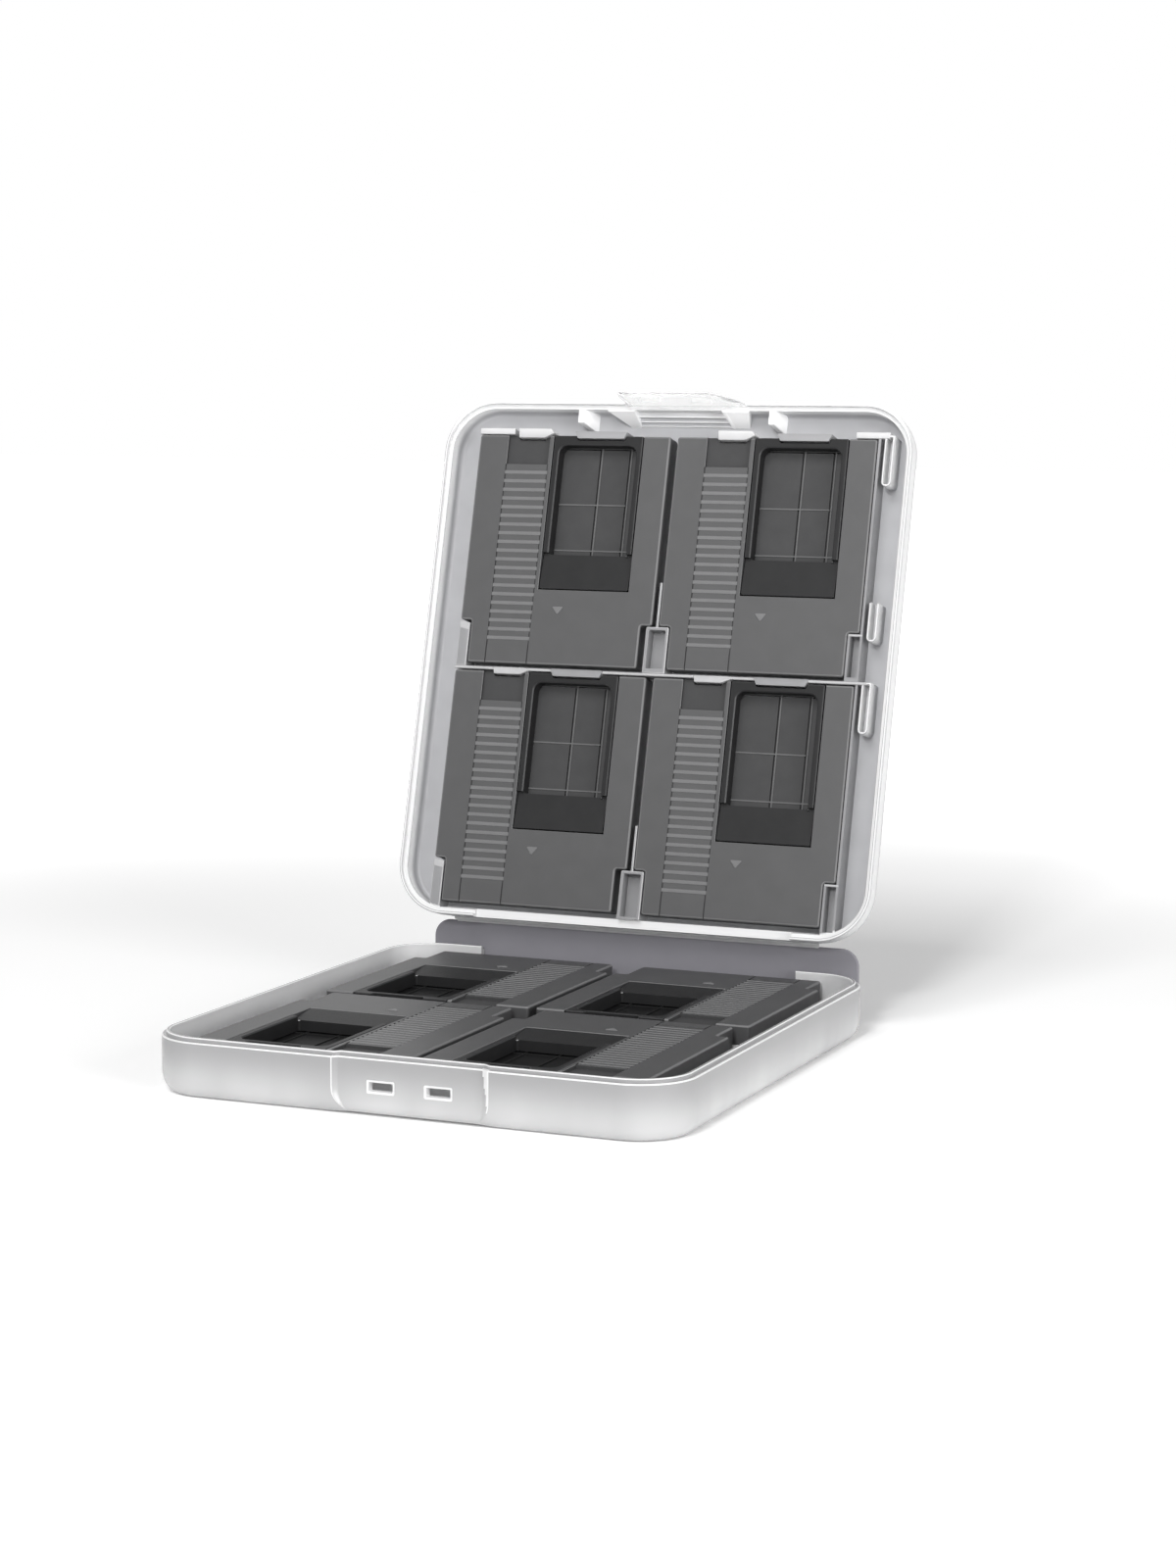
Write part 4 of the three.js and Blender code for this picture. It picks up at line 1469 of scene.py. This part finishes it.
@dataclass
class CardHolder:
    """A grey holder: front shell with a ribbed band, dark card surround and back cover."""

    half_width: float = 30.1
    half_height: float = 34.0
    thickness: float = 5.9
    wall: float = 1.6
    back: float = 1.6
    gap: float = 0.3
    corner: float = 0.7
    rims: Point = (0.5, 0.3)
    base_seat: float = 7.6
    lid_seat: float = 1.7
    notch_width: float = 3.5
    notch_height: float = 12.5
    tab_depth: float = 1.4
    tab_spans: tuple[Point, Point] = ((-19.0, -8.2), (0.0, 17.1))
    tab_high: float = 35.2
    tab_chamfer: Point = (0.15, 0.15)
    window_chamfer: Point = (0.12, 0.15)
    # How far a cutting tool runs past the top edge
    overrun: float = 2.0
    frame_left: float = -6.2
    frame_right: float = 21.6
    frame_bottom: float = -11.6
    frame_border: float = 1.75
    frame_head: float = 2.8
    frame_corner: float = 0.4
    frame_rim: float = 0.3
    ramp_length: float = 10.3
    ramp_toe: float = 2.8
    ramp_overrun: float = 1.0
    nub: float = 0.45
    nub_fillet: float = 0.95
    nub_rims: Point = (0.4, 0.3)
    well_corners: tuple[float, ...] = (0.6, 0.6, 2.5, 2.5)
    well_chamfer: Point = (0.35, 0.3)
    pocket_length: float = 8.7
    pocket_depth: float = 1.0
    pocket_chamfer: Point = (0.1, 0.1)
    band_depth: float = 0.13
    line_width: float = 0.35
    line_depth: float = 0.3
    line_overrun: float = 1.0
    arrow: tuple[float, float, float, float] = (0.4, -16.8, 3.8, 2.4)
    arrow_relief: float = 0.2
    arrow_fillet: float = 0.25
    arrow_rim: float = 0.15
    cover_corner: float = 0.4
    cover_rims: Point = (0.2, 0.25)
    groove_width: float = 0.55
    groove_depth: float = 0.4
    groove_shares: Point = (0.48, 0.86)
    groove_overruns: Point = (2.0, 0.5)
    ridge_width: float = 0.4
    ridge_height: float = 0.2
    ridge_foot: float = 0.5
    ridge_shares: Point = (0.52, 0.94)
    ridge_overruns: Point = (1.0, 0.4)
    cross_overrun: float = 0.5
    ribs: GripRibs = field(default_factory=GripRibs)

    def outline(self, inset: float, top_inset: float) -> Outline:
        """Returns the holder's outline with its two lower corner notches.

        Args:
            inset: How far the sides and the foot are moved in.
            top_inset: How far the top edge is moved in.

        Returns:
            The outline, counter-clockwise.
        """
        side = self.half_width - inset
        foot = side - self.notch_width
        step = self.notch_height - self.half_height + inset
        bottom = inset - self.half_height
        top = self.half_height - top_inset
        right = [(foot, bottom), (foot, step), (side, step), (side, top)]
        left = [(-x, y) for x, y in right]
        return left[:1] + right + left[:0:-1]

    def top_notches(self) -> list[Solid]:
        """Shapes the tools that cut the notches for the lid's tabs.

        Returns:
            The tools.
        """
        low = self.half_height - self.tab_depth
        high = self.tab_high
        lean = (high - low) / 2
        shapes = [[(a + lean, low), (b - lean, low), (b, high), (a, high)] for a, b in self.tab_spans]
        return [Solid.mouth(shape, -BITE, self.thickness, self.tab_chamfer) for shape in shapes]

    def band_cuts(self) -> list[Solid]:
        """Shapes the tools for the band's bed, its pocket and its two edge lines; the pocket and the lines
        take painted shade.

        Returns:
            The tools.
        """
        ribs = self.ribs
        top = self.thickness
        pocket_end = self.half_height - self.pocket_length
        bed = rectangle(ribs.left, ribs.right, ribs.first, pocket_end + BITE)
        pocket = rectangle(ribs.left, ribs.right, pocket_end, self.half_height + self.overrun)
        tools = [
            Solid.slab(bed, top - self.band_depth, top + BITE),
            Solid.mouth(pocket, top - self.pocket_depth, top, self.pocket_chamfer, Surface.DEEP),
        ]
        half = self.line_width / 2
        for x in (ribs.left, ribs.right):
            line = rectangle(x - half, x + half, -self.half_height - self.line_overrun, pocket_end)
            tools.append(Solid.slab(line, top - self.line_depth, top + BITE, skin=Surface.DEEP))
        return tools

    def shell(self) -> Solid:
        """Shapes the front shell.

        Returns:
            The shell.
        """
        top = self.thickness
        body = Solid.slab(filleted(self.outline(0, 0), self.corner), 0, top, *self.rims)
        hollow = Solid.slab(self.outline(self.wall, self.wall + self.tab_depth), -BITE, top - self.wall)
        left = self.frame_left - self.gap
        right = self.frame_right + self.gap
        window = rectangle(left, right, self.frame_bottom - self.gap, self.half_height + self.overrun)
        x, y, width, drop = self.arrow
        corners = [(x - width / 2, y), (x, y - drop), (x + width / 2, y)]
        arrow = filleted(corners, self.arrow_fillet, SOFT_STEPS)
        # The arrow takes the lighter edge finish, the same painted highlight as the rims.
        mark = Solid.slab(arrow, top - BITE, top + self.arrow_relief, self.arrow_rim, skin=Surface.EDGE)
        body.cut(hollow, Solid.mouth(window, self.back, top, self.window_chamfer), *self.band_cuts())
        return body.join(self.ribs.solid(), mark).cut(*self.top_notches())

    def well(self) -> tuple[float, float, float, float]:
        """Measures the card well.

        Returns:
            Its left, right, bottom and top.
        """
        left = self.frame_left + self.frame_border
        right = self.frame_right - self.frame_border
        return left, right, self.frame_bottom + self.ramp_length, self.half_height - self.frame_head

    def surround(self) -> Solid:
        """Shapes the dark card surround with the ramp that falls into the well.

        Returns:
            The surround.
        """
        low = self.back + self.gap
        top = self.thickness
        left, right, start = self.frame_left, self.frame_right, self.frame_bottom
        shape = filleted(rectangle(left, right, start, self.half_height), self.frame_corner, SOFT_STEPS)
        body = Solid.slab(shape, low, top, self.frame_rim)
        _, nub_x, end, _ = self.well()
        toe = low + self.ramp_toe
        past = self.ramp_overrun
        above = [(start, top), (end, toe), (end + BITE, toe), (end + BITE, top + past), (start, top + past)]
        ramp = Solid.slab(above, left - past, right + past, turn=SIDEWAYS)
        opening = filleted(rectangle(*self.well()), self.well_corners, WIDE_STEPS)
        body.cut(Solid.mouth(opening, low - BITE, top, self.well_chamfer), ramp)
        # A small nub at the well's corner in the pale finish: a painted glint.
        half = self.nub
        spot = rectangle(nub_x - half, nub_x + half, end - half, end + half)
        round_spot = filleted(spot, self.nub_fillet * half, ROUND_STEPS)
        body.join(Solid.slab(round_spot, toe - half, toe + half, *self.nub_rims, skin=Surface.DEEP))
        return body.cut(*self.top_notches())

    def cover(self) -> Solid:
        """Shapes the back cover, with the grooves and ridges that show on the well's floor; the grooves take
        painted shade and the ridges a painted highlight.

        Returns:
            The cover.
        """
        inset = self.wall + self.gap
        shape = filleted(self.outline(inset, inset + self.tab_depth), self.cover_corner, SOFT_STEPS)
        plate = Solid.slab(shape, 0, self.back, *self.cover_rims)
        left, right, bottom, top = self.well()
        columns = [left + share * (right - left) for share in self.groove_shares]
        rows = [top - share * (top - bottom) for share in self.ridge_shares]
        half = self.groove_width / 2
        below, beyond = self.groove_overruns
        under, over = self.ridge_overruns
        peak = self.back + self.ridge_height
        for x in columns:
            groove = rectangle(x - half, x + half, bottom - below, top + beyond)
            ridge = rectangle(x + half, x + half + self.ridge_width, bottom - under, top + over)
            plate.cut(Solid.slab(groove, self.back - self.groove_depth, self.back + BITE, skin=Surface.DEEP))
            plate.join(Solid.slab(ridge, self.ridge_foot, peak, skin=Surface.EDGE))
        half = self.ridge_width / 2
        for y, end in zip(rows, (columns[1], right + self.cross_overrun)):
            ridge = rectangle(left - self.cross_overrun, end, y - half, y + half)
            plate.join(Solid.slab(ridge, self.ridge_foot, peak, skin=Surface.EDGE))
        return plate

    def build(self, case: CaseSizes) -> None:
        """Shapes one holder and places it in all eight cells.

        Args:
            case: The case that the cells belong to.
        """
        shell = smoothed(self.shell(), HOLDER_FINISH)
        surround = smoothed(self.surround(), FRAME_FINISH)
        cover = smoothed(self.cover(), WELL_FINISH)
        # The holders in the base get the nearly black copy of the cover: painted shade in their wells.
        painted_shade_cover = smoothed(self.cover(), WELL_PAINTED_SHADE_FINISH)
        half_turn = Matrix.Rotation(math.pi, 4, "Z")
        rows = (("base_rear", "lid_lower"), ("base_front", "lid_upper"))
        columns = (("left", -1), ("right", 1))
        for (side, column), (row, (in_base, in_lid)) in product(columns, enumerate(rows)):
            x = column * case.column_pitch / 2
            along = case.first_row + self.half_height + row * case.row_pitch
            base_spot = Matrix.Translation((x, case.back - along, self.base_seat)) @ half_turn
            lid_spot = case.lid_frame() @ Matrix.Translation((x, along, self.lid_seat))
            cells = (
                (f"{in_base}_{side}", base_spot, painted_shade_cover, WELL_PAINTED_SHADE_FINISH),
                (f"{in_lid}_{side}", lid_spot, cover, WELL_FINISH),
            )
            for name, spot, back, finish in cells:
                body = f"{name}_holder"
                place(f"{name}_face", shell, spot, body, f"{name}_holder_shell", HOLDER_FINISH)
                place(f"{name}_surround", surround, spot, body, f"{name}_card_frame", FRAME_FINISH)
                place(f"{name}_cover", back, spot, body, f"{name}_holder_back", finish)


@dataclass(frozen=True)
class Lamp:
    """A soft square lamp aimed at the case."""

    name: str
    position: tuple[float, float, float]
    size: float
    power: float

    def build(self, aim: Vector) -> None:
        """Adds the lamp to the scene.

        Args:
            aim: The point that it is turned towards.
        """
        data = bpy.data.lights.new(self.name, "AREA")
        data.energy = self.power
        data.shape = "SQUARE"
        data.size = self.size
        lamp = linked(self.name, data)
        lamp.location = self.position
        lamp.rotation_euler = (aim - Vector(self.position)).to_track_quat("-Z", "Y").to_euler()


@dataclass
class Studio:
    """White floor, soft lamps and the camera."""

    camera_position: tuple[float, float, float] = (0.33696, -0.76224, 0.17724)
    yaw: float = math.radians(22.73)
    pitch: float = math.radians(7.08)
    roll: float = math.radians(0.31)
    lens: float = 73.68
    sensor: float = 36.0
    floor_half: float = 6.0
    floor_drop: float = 0.0002
    floor_tone: float = 0.97
    ambient: float = 0.36
    floor_lift: float = 0.1
    fade_start: float = 0.25
    fade_end: float = 0.78
    aim: tuple[float, float, float] = (0.0, 0.0, 0.06)
    lamps: tuple[Lamp, ...] = (
        Lamp("front", (0.2, -2.13, 1.1), 0.35, 22.0),
        Lamp("top", (-0.1, -1.3, 1.75), 0.9, 20.0),
        Lamp("right", (1.5, -0.65, 0.4), 0.8, 16.0),
    )

    def camera(self) -> None:
        """Adds the camera at the photograph's viewing angle."""
        data = bpy.data.cameras.new("camera")
        data.lens = self.lens
        data.sensor_width = self.sensor
        camera = linked("camera", data)
        aside = Matrix.Rotation(self.yaw, 4, "Z")
        down = Matrix.Rotation(math.pi / 2 - self.pitch, 4, "X")
        tilt = Matrix.Rotation(self.roll, 4, "Z")
        camera.matrix_world = Matrix.Translation(self.camera_position) @ aside @ down @ tilt
        bpy.context.scene.camera = camera

    def seen_directly(self, sheet: Sheet) -> NodeSocket:
        """Adds a switch that is 1 for camera, glossy and transmission rays.

        Args:
            sheet: The node tree that it is for.

        Returns:
            The switch's output.
        """
        path = sheet.add("ShaderNodeLightPath")
        share = path["Is Camera Ray"]
        for kind in ("Is Glossy Ray", "Is Transmission Ray"):
            share = sheet.add("ShaderNodeMath", {0: share, 1: path[kind]}, operation="MAXIMUM")[0]
        return share

    def world(self) -> None:
        """Makes the surroundings: white to look at, softer as a light."""
        world = bpy.data.worlds.new("studio")
        world.use_nodes = True
        sheet = Sheet(world.node_tree)
        light = sheet.add("ShaderNodeBackground", {"Color": WHITE, "Strength": self.ambient})[0]
        white = sheet.add("ShaderNodeBackground", {"Color": WHITE})[0]
        mix = sheet.add("ShaderNodeMixShader", {0: self.seen_directly(sheet), 1: light, 2: white})[0]
        sheet.add("ShaderNodeOutputWorld", {"Surface": mix})
        bpy.context.scene.world = world

    def paper(self) -> Material:
        """Makes the floor's material, which fades to white away from the case.

        Returns:
            The material.
        """
        material = bpy.data.materials.new("floor_paper")
        material.use_nodes = True
        sheet = Sheet(material.node_tree)
        spot = sheet.add("ShaderNodeTexCoord")["Object"]
        reach = {
            "Value": sheet.add("ShaderNodeVectorMath", {0: spot}, operation="LENGTH")["Value"],
            "From Min": self.fade_start,
            "From Max": self.fade_end,
            "To Min": self.floor_lift,
        }
        fade = sheet.add("ShaderNodeMapRange", reach, interpolation_type="SMOOTHSTEP")["Result"]
        share = sheet.add("ShaderNodeMath", {0: fade, 1: self.seen_directly(sheet)}, operation="MULTIPLY")[0]
        paper = sheet.add("ShaderNodeBsdfDiffuse", {"Color": (*grey(self.floor_tone), 1)})[0]
        white = sheet.add("ShaderNodeEmission", {"Strength": share})[0]
        both = sheet.add("ShaderNodeAddShader", {0: paper, 1: white})[0]
        sheet.add("ShaderNodeOutputMaterial", {"Surface": both})
        return material

    def floor(self) -> None:
        """Adds the floor."""
        half = self.floor_half
        mesh = bpy.data.meshes.new("floor")
        mesh.from_pydata([(x, y, 0) for x, y in rectangle(-half, half, -half, half)], [], [(0, 1, 2, 3)])
        mesh.materials.append(self.paper())
        floor = linked("floor", mesh)
        floor.location.z = -self.floor_drop

    def build(self) -> None:
        """Sets up the camera, the surroundings, the floor and the lamps."""
        self.camera()
        self.world()
        self.floor()
        for lamp in self.lamps:
            lamp.build(Vector(self.aim))
        bpy.context.scene.view_settings.view_transform = "Standard"


def main() -> None:
    """Loads the frame and builds every sub-assembly around it."""
    logging.basicConfig(level=logging.INFO, format="%(message)s")
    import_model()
    case = CaseSizes()
    Studio().build()
    BaseTray(case).build()
    LidTray(case).build()
    LatchTongue(case).build()
    Spine(case).build()
    CardHolder().build(case)
    bpy.context.view_layer.update()


if __name__ == "__main__":
    main()
